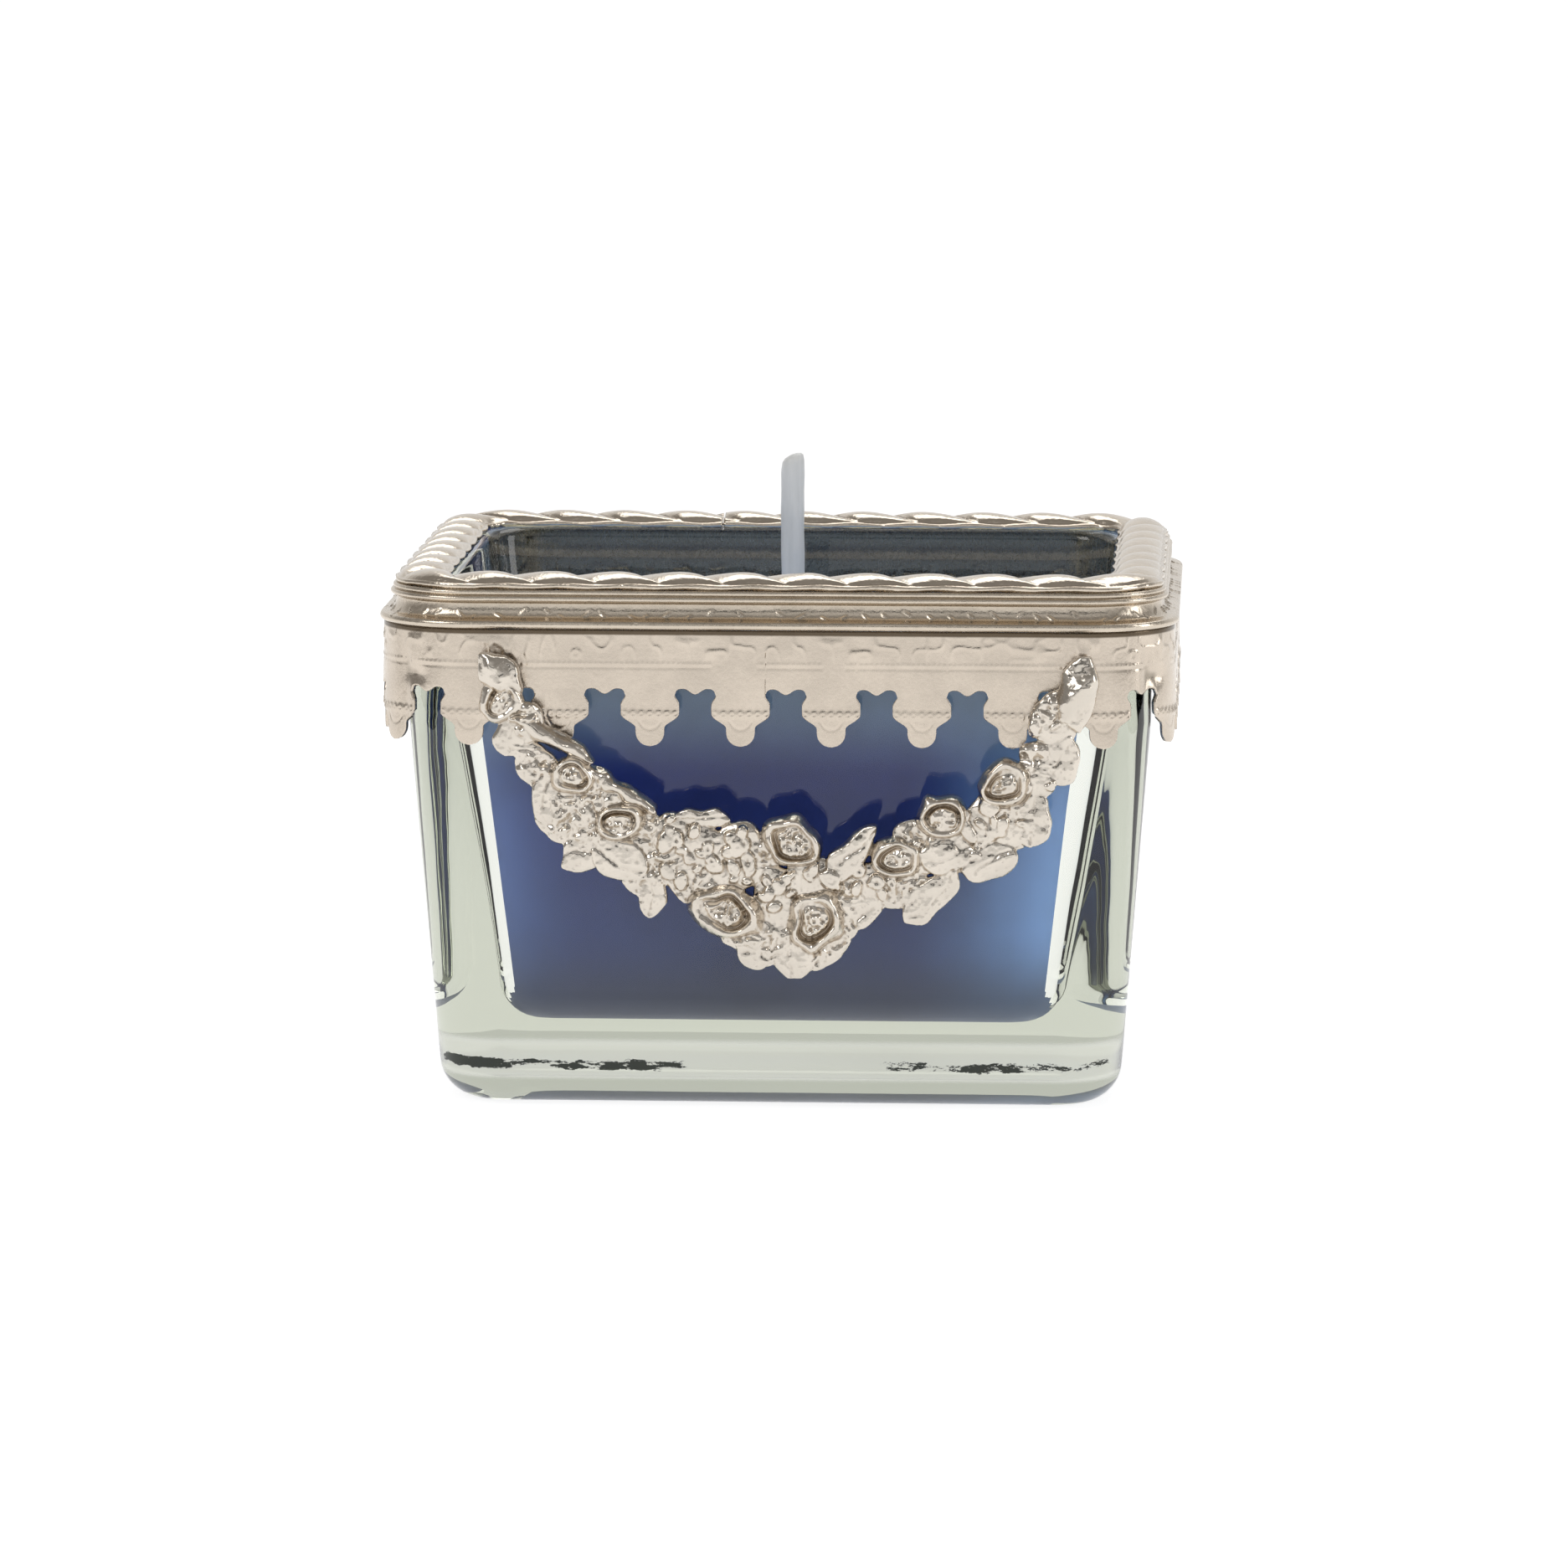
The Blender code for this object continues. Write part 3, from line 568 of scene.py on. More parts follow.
def make_wax():
    """The wax, with a shallow meniscus at the wick and the walls."""
    floor_z = WAX_LOW[2] - 0.3 * MM - WAX_BITE
    top = WAX_HIGH[2]
    rim_ring = wax_ring(top)
    floor_round = [wax_ring(floor_z + CAVITY_ROUND * (1 - math.sin(a)), CAVITY_ROUND * (1 - math.cos(a)))
                   for a in reversed(quarter(8))]
    walls = [wax_ring(z) for z in np.linspace(floor_z + CAVITY_ROUND, top, 14)[1:-1]]
    surface = []
    meniscus = ((0.985, 0.35), (0.95, 0.55), (0.8, 0.7), (0.5, 0.75), (0.2, 0.7), (0.1, 0.5), (0.06, 0.2))
    for share, dip in meniscus:
        ring = shrink(rim_ring, share)
        ring[:, 2] = top - dip * MM
        surface.append(ring)
    base = [shrink(floor_round[0], share) for share in (0.05, 0.5, 0.85)]
    wax = loft("wax_block", base + floor_round + walls + [rim_ring] + surface, wax_material(), "candle")
    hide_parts("wax_fill")
    return wax


def make_wick():
    """A waxed wick with soft ribs along it and a slanting worn tip."""
    centre = [(low + high) / 2 for low, high in zip(WICK_LOW, WICK_HIGH)]
    radius = (WICK_HIGH[0] - WICK_LOW[0]) / 2
    sides = 40
    angles = np.arange(sides) * TURN / sides
    rows = []
    heights = list(np.linspace(WICK_LOW[2], WICK_HIGH[2] - 3 * MM, 60))
    for z in heights:
        wobble = 1 - 0.035 + 0.02 * np.sin(3 * angles + z / MM * 0.35) + 0.015 * math.sin(z / MM * 1.3)
        lean = 0.12 * MM * math.sin((z - WICK_LOW[2]) / (WICK_HIGH[2] - WICK_LOW[2]) * 5)
        ring = np.stack([centre[0] + lean + radius * 0.97 * wobble * np.cos(angles),
                         centre[1] + radius * 0.95 * wobble * np.sin(angles),
                         np.full(sides, z)], axis=-1)
        rows.append(ring)
    tip = rows[-1]
    slant = 0.55 * MM * np.cos(angles)
    top_z = WICK_HIGH[2] - 0.6 * MM
    for share, drop in ((0.97, 1.3), (0.88, 0.55), (0.68, 0.2), (0.35, 0.05), (0.05, 0.0)):
        ring = shrink(tip, share)
        ring[:, 2] = top_z - drop * MM + slant * share
        rows.append(ring)
    wick = loft("wick_waxed", rows, wick_material(), "candle")
    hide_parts("wick")
    return wick


# ---------------------------------------------------------------- collar


def make_rope():
    """The gadrooned roll: leaning lobes with sharp valleys between two thin crimped lips."""
    length = path_length(ROPE_CENTRE)
    seam = length / 2 - ROPE_SEAM_X
    stations = ROPE_LOBES * ROPE_STATIONS_PER_LOBE
    distance = seam + SEAM_GAP / 2 + (length - SEAM_GAP) * np.linspace(0, 1, stations + 1)
    across = np.linspace(0, 1, ROPE_ACROSS_STEPS)
    along, share = np.meshgrid(distance, across, indexing="ij")
    pitch = length / ROPE_LOBES
    wander = 0.05 * value_noise(along / (9 * MM), share * 0 + 3.3, RANDOM_SEED)
    lean = ROPE_LEAN * (share - 0.5) + 0.06 * np.sin(TURN * share)
    phase = (along - seam) / pitch + wander - lean
    bulge = np.sin(math.pi * np.mod(phase, 1.0) ** 1.5)
    lip_share = np.clip(np.minimum(share, 1 - share) / ROPE_LIP_SHARE, 0, 1)
    body = np.clip((share - 0.07) / 0.86, 0, 1)
    rounding = np.sin(math.pi * body) ** 0.5
    cushion = 1 - ROPE_VALLEY_DEPTH * (1 - bulge ** 0.5)
    height = ROPE_HIGH[2] - ROPE_LOW[2]
    lip_height = ROPE_LIP_HEIGHT * height
    z = ROPE_LOW[2] + lip_height * (0.75 + 0.25 * lip_share) + (height - lip_height) * rounding * cushion
    crimp = np.cos(TURN * ((along - seam) / pitch - 0.15)) * 0.16 * MM
    crimp += 0.07 * MM * value_noise(along / (0.9 * MM), share * 0, RANDOM_SEED + 1)
    edge = np.where(share > 0.5, 1, -1) * (1 - lip_share) ** 2 * crimp
    z += (1 - lip_share) * 0.10 * MM * np.cos(TURN * (along - seam) / pitch + 1.0)
    z = np.minimum(z, ROPE_HIGH[2])
    offset = ROPE_CENTRE + ROPE_HALF_WIDTH * (2 * share - 1) * 0.97 + edge
    top = stand_up(along, ROPE_CENTRE, offset, z)
    under_z = np.full(stations + 1, (ROPE_LOW[2] + MOULD_HIGH[2]) / 2 - ROPE_UNDERCUT)
    outer_under = stand_up(distance, ROPE_CENTRE, offset[:, -1] - ROPE_UNDERCUT, under_z)
    inner_under = stand_up(distance, ROPE_CENTRE, offset[:, 0] + ROPE_UNDERCUT, under_z)
    points = np.concatenate([top, outer_under[:, None], inner_under[:, None]], axis=1)
    rows, columns = points.shape[:2]
    faces = grid_faces(rows, columns, wrap_columns=True)
    piece = add_mesh("rope_gadrooned", points.reshape(-1, 3), faces, ROPE_SILVER, "collar")
    close_ends(piece, columns, rows)
    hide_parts("rope_rim")
    return piece


def close_ends(piece, columns, rows):
    """Cap both ends of an open sweep."""
    work = bmesh.new()
    work.from_mesh(piece.data)
    work.verts.ensure_lookup_table()
    work.faces.new([work.verts[i] for i in range(columns)])
    work.faces.new([work.verts[(rows - 1) * columns + i] for i in reversed(range(columns))])
    bmesh.ops.recalc_face_normals(work, faces=work.faces)
    work.to_mesh(piece.data)
    work.free()


def arc_points(offset, z, radius, start, end, steps):
    """Points of an arc in a moulding profile; angle zero faces outwards."""
    angles = np.linspace(start, end, steps)
    return [(offset + radius * math.cos(angle), z + radius * math.sin(angle)) for angle in angles]


COVE_POINTS = slice(22, 40)


MOULDING_BORE = 8.95 * MM


def moulding_profile():
    """Two fillets, a cove and a bead, from the top down the outer side and back up inside."""
    top = MOULD_HIGH[2]
    bottom = MOULD_LOW[2]
    fillet = 0.33 * MM
    bead = 0.5 * MM
    fillet_offset = ROPE_CENTRE + 3.1 * MM
    half = math.pi / 2
    profile = arc_points(fillet_offset, top - fillet, fillet, half, -half, 10)
    profile += arc_points(fillet_offset + 0.3 * MM, top - 3.15 * fillet, fillet * 1.05, half, -half, 10)
    cove_top = top - 4.8 * fillet
    cove_bottom = bottom + 2.3 * bead
    for step in range(16):
        angle = half * step / 15
        reach = (BEAD_REACH - bead - fillet_offset - 0.3 * MM) * (1 - math.cos(angle))
        level = cove_top + (cove_bottom - cove_top) * math.sin(angle)
        profile.append((fillet_offset - 0.1 * MM + reach, level))
    profile += arc_points(BEAD_REACH - bead, bottom + bead, bead, half, -half, 14)
    profile += [(MOULDING_BORE, bottom), (MOULDING_BORE, top)]
    return np.array(profile)


def stroke_marks(along, across, length, seed, spacing, band, size):
    """Little slanting leaf strokes scattered along a band, as heights."""
    generator = np.random.default_rng(seed)
    height = np.zeros_like(along)
    for index in range(int(length / spacing)):
        centre = (index + generator.uniform(-0.3, 0.3)) * spacing
        level = generator.uniform(*band)
        slope = generator.choice([-1, 1]) * generator.uniform(0.5, 0.9)
        reach = size * generator.uniform(0.6, 1.2)
        near = np.abs(along[:, 0] - centre) < 2 * reach
        du = along[near] - centre
        dv = across[near] - level
        lengthwise = du * math.cos(slope) + dv * math.sin(slope)
        sideways = -du * math.sin(slope) + dv * math.cos(slope)
        height[near] += np.exp(-(lengthwise / reach) ** 4 - (sideways / (0.16 * size)) ** 2)
    return np.clip(height, 0, 1)


def make_moulding():
    """The moulding, with small chased leaf strokes in its cove."""
    profile = moulding_profile()
    reference = BEAD_REACH
    length = path_length(reference)
    stations = 1500
    distance = length * np.arange(stations) / stations
    d, offset = np.meshgrid(distance, profile[:, 0], indexing="ij")
    z = np.broadcast_to(profile[:, 1], d.shape)
    is_cove = np.zeros(len(profile))
    is_cove[COVE_POINTS] = 1.0
    marks = stroke_marks(d, z, length, RANDOM_SEED + 2, 2.6 * MM,
                         (MOULD_LOW[2] + 1.1 * MM, MOULD_LOW[2] + 2.0 * MM), 0.55 * MM)
    waver = 0.04 * MM * value_noise(d / (7 * MM), z / (2 * MM), RANDOM_SEED + 3)
    outward = (offset > 9.0 * MM) & (offset < BEAD_REACH - 0.1 * MM)
    offset = offset + marks * is_cove * 0.28 * MM + np.where(outward, waver, 0)
    points = stand_up(d, reference, offset, z)
    faces = grid_faces(stations, len(profile), wrap_rows=True, wrap_columns=True)
    piece = add_mesh("moulding_chased", points.reshape(-1, 3), faces, MOULDING_SILVER, "collar")
    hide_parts("moulding_band")
    return piece


def smooth_step(value):
    """Rise smoothly from 0 to 1."""
    value = np.clip(value, 0, 1)
    return value * value * (3 - 2 * value)


def tab_half_width(share, root):
    """Half width of a tab from its root (share 0) to its round tip (share 1)."""
    shoulder = 1 + 0.18 * smooth_step(share / 0.18)
    waist = 0.60 * smooth_step((share - 0.38) / 0.26)
    tip = np.sqrt(np.clip(1 - (np.clip(share - 0.78, 0, 1) / 0.22) ** 2, 0, 1))
    taper = 1 - 0.14 * np.clip((share - 0.72) / 0.28, 0, 1)
    return root * (shoulder - waist) * taper * np.maximum(tip, 0.03)


def notch_edge(beside):
    """Rise of the notch's top edge: two round ears with a cusp between them."""
    ear_radius = 0.75 * MM
    ear_middle = NOTCH_HALF_WIDTH - ear_radius
    reach = np.abs(beside)
    hanging = 0.65 * MM * smooth_step(reach / (0.8 * ear_middle))
    past_middle = np.clip(reach - ear_middle, 0, None) / ear_radius
    rounded = ear_radius * np.sqrt(np.clip(1 - past_middle ** 2, 0, 1))
    return np.where(reach < ear_middle, hanging, rounded - ear_radius + 0.65 * MM)


def skirt_relief(along, z, pitch):
    """Raised and engraved work on the skirt's face, as an outward distance."""
    beside = np.mod(along, pitch) - pitch / 2
    row_z = TAB_ROOT_Z + 3.6 * MM
    tiny = 0.62 * MM
    bead_u = np.mod(along, tiny) / tiny - 0.5
    bead_v = (z - row_z) / tiny
    broken = value_noise(along / (6 * MM), along * 0, RANDOM_SEED + 4) > -0.35
    relief = 0.07 * MM * np.exp(-12 * (bead_u ** 2 + bead_v ** 2)) * broken
    relief -= 0.05 * MM * np.exp(-((z - row_z + 0.4 * MM) / (0.14 * MM)) ** 2) * broken
    big = 1.02 * MM
    tab_u = beside / big - np.round(beside / big)
    tab_v = (z - (TAB_ROOT_Z - 2.4 * MM)) / big
    ring_distance = np.sqrt(tab_u ** 2 + tab_v ** 2)
    on_tab = np.abs(beside) < 3.3 * MM
    relief += 0.16 * MM * np.exp(-((ring_distance - 0.3) / 0.13) ** 2) * on_tab
    arc = np.sqrt(beside ** 2 + (z - (TAB_ROOT_Z - 2.9 * MM)) ** 2)
    relief -= 0.05 * MM * np.exp(-((arc - 1.3 * MM) / (0.13 * MM)) ** 2) * (z < TAB_ROOT_Z - 3.2 * MM)
    scroll_band = np.exp(-((z - (TAB_ROOT_Z + 5.6 * MM)) / (1.2 * MM)) ** 4)
    swirl = value_noise(along / (1.6 * MM), z / (1.6 * MM), RANDOM_SEED + 5)
    relief += 0.12 * MM * scroll_band * np.exp(-(swirl / 0.12) ** 2)
    relief += 0.05 * MM * value_noise(along / (5 * MM), z / (4 * MM), RANDOM_SEED + 6)
    relief += 0.005 * MM * value_noise(along / (0.7 * MM), z / (0.7 * MM), RANDOM_SEED + 7)
    return relief


def corner_pleats(along, z):
    """The folds pressed in where the skirt turns its corners, as an outward distance."""
    reference = SKIRT_REACH - SKIRT_FLARE
    arc = math.pi / 2 * reference
    length = path_length(reference)
    fold = np.zeros_like(along)
    for middle in (CORE_X + arc / 2, CORE_X + 2 * CORE_Y + 1.5 * arc,
                   3 * CORE_X + 2 * CORE_Y + 2.5 * arc, 3 * CORE_X + 4 * CORE_Y + 3.5 * arc):
        beside = np.mod(along + TAB_SHIFT - middle + length / 2, length) - length / 2
        fold -= 0.35 * MM * ridge(beside, 0, 0.9 * MM) * smooth_step((MOULD_LOW[2] - z) / (5 * MM))
        dimple = ridge(beside, 1.6 * MM, 1.3 * MM) * ridge(z, TAB_ROOT_Z + 2.0 * MM, 1.1 * MM)
        fold -= 0.45 * MM * dimple
    return fold


def skirt_patches(pitch, root, top, bottom):
    """Places along and heights of the band over each notch and tab, then of the tab itself."""
    notch = np.linspace(-NOTCH_HALF_WIDTH, NOTCH_HALF_WIDTH, 29)
    tab = np.linspace(-1, 1, 41)
    band_share = np.linspace(0, 1, SKIRT_BAND_ROWS)[:, None]
    tab_share = np.linspace(0, 1, SKIRT_TAB_ROWS)[:, None]
    ear_z = TAB_ROOT_Z + notch_edge(notch)
    edge_z = np.concatenate([ear_z, np.full(len(tab) - 1, ear_z[-1])])
    root_z = edge_z[-1]
    for index in range(TAB_COUNT):
        middle = index * pitch
        columns = np.concatenate([middle + notch, middle + pitch / 2 + root * tab[1:]])
        band_u = np.broadcast_to(columns, (SKIRT_BAND_ROWS, len(columns)))
        yield band_u, top + (edge_z - top) * band_share
        tab_u = middle + pitch / 2 + tab_half_width(tab_share, root) * tab
        yield tab_u, root_z + (bottom - root_z) * np.broadcast_to(tab_share, tab_u.shape)


def make_skirt():
    """The flared skirt: a band with eared notches and a row of tabs, all one sheet."""
    reference = SKIRT_REACH - SKIRT_FLARE
    pitch = path_length(reference) / TAB_COUNT
    root = pitch / 2 - NOTCH_HALF_WIDTH
    top = MOULD_LOW[2] - 0.05 * MM
    bottom = SKIRT_LOW[2]
    all_points = []
    all_faces = []
    start = 0
    for u, z in skirt_patches(pitch, root, top, bottom):
        flare = SKIRT_FLARE * (top - z) / (top - bottom)
        relief = np.clip(skirt_relief(u, z, pitch), -RELIEF_DOWN, RELIEF_UP)
        offset = reference + flare - RELIEF_UP + relief + corner_pleats(u, z)
        points = stand_up(u + TAB_SHIFT, reference, offset, z)
        all_points.append(points.reshape(-1, 3))
        all_faces.append(start + grid_faces(*u.shape, flip=True))
        start += u.size
    mesh = bpy.data.meshes.new("skirt_engraved")
    mesh.from_pydata(np.concatenate(all_points).tolist(), [], np.concatenate(all_faces).tolist())
    work = bmesh.new()
    work.from_mesh(mesh)
    bmesh.ops.remove_doubles(work, verts=work.verts, dist=0.012 * MM)
    for face in work.faces:
        face.smooth = True
    work.to_mesh(mesh)
    work.free()
    piece = add_object("skirt_engraved", mesh, SKIRT_SILVER)
    sheet = piece.modifiers.new("sheet", "SOLIDIFY")
    sheet.thickness = SKIRT_SHEET
    sheet.offset = -1.0
    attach(piece, "collar")
    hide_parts("lambrequin_skirt")
    return piece


# ---------------------------------------------------------------- garland

GARLAND_SHIFT_X = -0.9

# Casting elements: middle x and z, half length, half width (mm), tilt (degrees), relief (mm).
ROSES = [
    (-23.0, 41.8, 2.9, 2.5, 0, 2.5),
    (-17.3, 36.1, 3.1, 2.5, 0, 2.7),
    (3.4, 34.1, 3.9, 2.9, -25, 2.7),
    (-4.6, 25.6, 4.8, 3.1, -15, 2.8),
    (6.1, 24.6, 4.1, 3.4, 60, 2.9),
    (15.8, 32.3, 3.2, 2.6, 0, 2.2),
    (21.3, 37.1, 3.2, 2.7, 0, 2.6),
    (28.5, 41.1, 3.2, 2.8, 20, 2.6),
    (-31.5, 50.6, 2.7, 2.5, 0, 1.9),
]
LEAVES = [
    (-30.2, 46.6, 2.9, 2.1, 70, 1.0),
    (-28.3, 44.6, 2.4, 1.7, -20, 1.0),
    (-26.0, 38.8, 3.1, 2.1, 95, 1.4),
    (-21.8, 32.3, 2.7, 2.2, 20, 1.3),
    (-17.3, 31.6, 3.6, 2.5, -15, 1.7),
    (-13.6, 27.4, 2.9, 1.8, 80, 1.1),
    (-7.3, 36.7, 3.4, 1.3, 0, 1.3),
    (-1.6, 20.3, 2.2, 1.7, -20, 1.2),
    (3.4, 20.6, 3.2, 2.6, 90, 1.5),
    (10.3, 32.6, 4.3, 1.8, 50, 1.9),
    (12.3, 25.9, 2.6, 1.6, 65, 1.1),
    (19.8, 27.4, 4.4, 2.1, 45, 1.2),
    (21.6, 32.7, 3.2, 2.4, 10, 1.6),
    (26.8, 31.8, 3.5, 2.4, 20, 1.5),
    (32.0, 36.8, 3.2, 2.2, 85, 1.4),
    (35.0, 43.8, 3.1, 2.5, 70, 1.2),
]
CLUSTERS = [
    (-11.3, 34.7, 2.7, 2.6, 0, 1.8),
    (-7.3, 33.0, 2.9, 2.9, 0, 2.1),
    (-3.0, 33.6, 3.0, 2.9, 0, 2.0),
    (-9.2, 30.4, 2.5, 2.0, -20, 1.7),
    (-3.4, 30.2, 3.5, 2.5, 0, 1.9),
    (1.4, 27.0, 4.6, 2.6, 90, 1.8),
    (5.6, 29.6, 3.3, 2.8, 0, 1.9),
    (12.7, 29.3, 2.9, 2.5, 0, 1.7),
    (26.0, 36.6, 3.0, 2.5, 60, 1.8),
    (29.4, 35.6, 2.9, 2.4, 0, 1.6),
    (32.6, 41.0, 1.9, 1.9, 0, 1.7),
    (34.6, 47.8, 2.9, 2.5, 70, 1.6),
]
GROUND = [
    (-23.3, 37.2, 4.2, 3.4, -35, 0.9),
    (-20.0, 34.0, 3.4, 2.4, 0, 0.9),
    (-15.2, 30.0, 2.6, 2.0, -60, 0.8),
    (-12.2, 31.0, 2.9, 2.3, 20, 0.9),
    (-9.5, 28.6, 2.4, 1.6, -40, 0.7),
    (-2.0, 22.8, 3.4, 2.4, -25, 0.8),
    (0.6, 22.6, 3.2, 2.8, 90, 0.9),
    (7.4, 21.4, 3.0, 1.9, 40, 0.8),
    (9.4, 24.6, 2.4, 2.0, 60, 0.8),
    (10.4, 28.3, 3.0, 2.4, 0, 0.8),
    (15.6, 28.8, 3.8, 2.4, 0, 0.8),
    (18.2, 33.4, 3.2, 3.0, 0, 0.9),
    (24.4, 33.6, 3.4, 2.8, 40, 0.9),
    (28.8, 38.0, 3.4, 2.6, 0, 0.8),
    (32.4, 43.4, 2.4, 2.2, 60, 0.8),
    (33.4, 49.6, 3.0, 1.4, 60, 1.0),
    (-27.2, 42.6, 2.8, 2.2, -40, 0.8),
    (-28.6, 48.4, 2.3, 1.8, -60, 1.0),
    (-19.6, 39.5, 2.8, 2.3, -30, 1.0),
    (-14.5, 34.8, 2.2, 2.4, 0, 0.9),
    (-0.2, 32.4, 2.0, 1.8, 0, 0.9),
    (-6.8, 29.4, 2.0, 1.7, 0, 0.9),
]
STEMS = [
    (-24.9, 46.0, 5.6, 1.1, -28, 1.8),
    (-19.8, 41.6, 3.0, 1.1, -32, 1.7),
    (-16.4, 39.4, 3.9, 1.2, -30, 1.9),
]
ROLLS = [
    (37.1, 51.9, 4.7, 2.5, 80, 2.6),
    (-31.8, 53.9, 3.5, 2.1, -38, 2.4),
]


def local(element, x, z):
    """Coordinates inside one element, scaled so that its outline is the unit circle."""
    middle_x, middle_z, half_length, half_width, tilt, relief = element
    turn = math.radians(tilt)
    dx = x - middle_x
    dz = z - middle_z
    along = (dx * math.cos(turn) + dz * math.sin(turn)) / half_length
    across = (-dx * math.sin(turn) + dz * math.cos(turn)) / half_width
    return along, across, relief


def dome(radius):
    """A half-round height over the unit circle."""
    return np.sqrt(np.clip(1 - radius ** 2, 0, 1))


def ridge(value, middle, width):
    """A round ridge across a value."""
    return np.exp(-((value - middle) / width) ** 2)


def plateau(radius):
    """A broad flat-topped height over the unit circle with round shoulders."""
    return dome(np.minimum(radius, 1)) ** 0.65


def rose_height(element, x, z, seed):
    """Broad outer petals, a deep crescent inside them and a curled heart."""
    generator = np.random.default_rng(seed)
    along, across, relief = local(element, x, z)
    radius = np.hypot(along, across)
    angle = np.arctan2(across, along)
    start = generator.uniform(0, TURN)
    uneven = 0.05 * np.sin(2 * angle + start) + 0.03 * np.sin(3 * angle + 2 * start)
    inner = radius * (1 + uneven)
    facing = 0.5 + 0.5 * np.cos(angle - start)
    height = 0.72 * plateau(radius)
    height += 0.26 * ridge(inner, 0.76, 0.17)
    height -= 0.42 * ridge(inner, 0.55, 0.07) * facing
    heart = smooth_step((0.56 - inner) / 0.16)
    curl = 0.5 + 0.5 * np.cos(angle + 8.0 * inner + start)
    height += 0.10 * heart * curl + 0.10 * ridge(inner, 0.0, 0.16)
    height += 0.11 * heart * value_noise(x / 0.42 + 7 * seed, z / 0.42, seed)
    height += 0.06 * value_noise(x / 1.3 + 3 * seed, z / 1.3, seed + 1)
    return relief * height * (radius < 1)


def leaf_height(element, x, z, seed):
    """A fleshy leaf: soft fold down the middle, wavy sides and a lightly turned edge."""
    along, across, relief = local(element, x, z)
    width = np.clip(1 - np.abs(along) ** 2.6, 0, 1) ** 0.62
    inside = np.abs(across) / np.maximum(width, 1e-3)
    height = 0.86 * plateau(inside)
    bend = across + 0.25 * np.sin(2.2 * along + seed)
    height -= 0.10 * ridge(bend, 0.0, 0.14)
    height += 0.12 * value_noise(1.7 * along + seed, 1.4 * across, seed)
    height += 0.08 * ridge(inside, 0.80, 0.14)
    return relief * height * (inside < 1) * (np.abs(along) < 1)


def cluster_height(element, x, z, seed):
    """Small blossoms and berries crowded together."""
    generator = np.random.default_rng(seed)
    middle_x, middle_z, half_length, half_width, _, relief = element
    along, across, _ = local(element, x, z)
    radius = np.hypot(along, across)
    height = 0.72 * relief * plateau(radius) * (radius < 1)
    count = int(half_length * half_width * 0.9)
    for _ in range(count):
        turn = generator.uniform(0, TURN)
        reach = math.sqrt(generator.uniform(0, 0.8))
        berry_x = middle_x + half_length * reach * math.cos(turn)
        berry_z = middle_z + half_width * reach * math.sin(turn)
        size = generator.uniform(0.55, 1.25)
        squash = generator.uniform(0.6, 1.0)
        spin = generator.uniform(0, math.pi)
        dx = (x - berry_x) * math.cos(spin) + (z - berry_z) * math.sin(spin)
        dz = -(x - berry_x) * math.sin(spin) + (z - berry_z) * math.cos(spin)
        distance = np.hypot(dx, dz / squash) / size
        berry = plateau(distance) * size * 0.45
        dimple = 0.20 * size * ridge(distance, 0, 0.34) * generator.choice([0, 0, 1])
        lift = relief * (0.45 + 0.30 * math.sqrt(1 - reach ** 2))
        height = np.maximum(height, (lift + berry - dimple) * (distance < 1))
    return height


def stem_height(element, x, z, seed):
    """A smooth round stem with a few swellings."""
    along, across, relief = local(element, x, z)
    width = np.clip(1 - along ** 8, 0, 1) * (0.84 + 0.16 * np.cos(7 * along + seed))
    inside = np.abs(across) / np.maximum(width, 1e-3)
    swell = 0.92 + 0.08 * np.cos(9 * along + seed)
    return relief * swell * dome(np.minimum(inside, 1)) * (inside < 1) * (np.abs(along) < 1)


def roll_height(element, x, z, seed):
    """A leaf rolled lengthwise, with smooth folds that run along it."""
    along, across, relief = local(element, x, z)
    radius = np.hypot(along, across)
    folds = 0.5 + 0.5 * np.cos(4.2 * along + 2.6 * across + seed)
    return relief * plateau(radius) * (0.62 + 0.38 * folds) * (radius < 1)


def ground_height(element, x, z, seed):
    """Low leafy filling between the flowers."""
    along, across, relief = local(element, x, z)
    radius = np.hypot(along, across)
    leafy = 0.75 + 0.28 * value_noise(x / 0.9 + seed, z / 0.9, seed)
    leafy = leafy + 0.12 * value_noise(x / 0.4, z / 0.4, seed)
    return 1.7 * relief * leafy * plateau(radius / 1.15) * (radius < 1.15)


def garland_heights(x, z):
    """The whole casting's relief over its back plane, in millimetres."""
    warp_x = x + 0.40 * value_noise(x / 1.9, z / 1.9, RANDOM_SEED + 12)
    warp_z = z + 0.40 * value_noise(x / 1.9, z / 1.9, RANDOM_SEED + 13)
    height = np.zeros_like(x)
    groups = [(GROUND, ground_height), (CLUSTERS, cluster_height), (LEAVES, leaf_height),
              (ROSES, rose_height), (STEMS, stem_height), (ROLLS, roll_height)]
    seed = RANDOM_SEED + 20
    for elements, shape in groups:
        for element in elements:
            seed += 1
            reach = max(element[2], element[3]) + 1.4
            patch = np.ix_(np.abs(x[:, 0] - element[0]) < reach, np.abs(z[0] - element[1]) < reach)
            part = shape(element, warp_x[patch], warp_z[patch], seed)
            along, across, _ = local(element, warp_x[patch], warp_z[patch])
            part = np.maximum(part, 0.45 * dome(np.hypot(along, across) / 0.97) ** 0.5)
            height[patch] = np.maximum(height[patch], part)
    height += 0.12 * value_noise(x / 1.1, z / 1.1, RANDOM_SEED + 9) * (height > 0.3)
    height += 0.05 * value_noise(x / 0.4, z / 0.4, RANDOM_SEED + 8) * (height > 0.3)
    return soften(height)


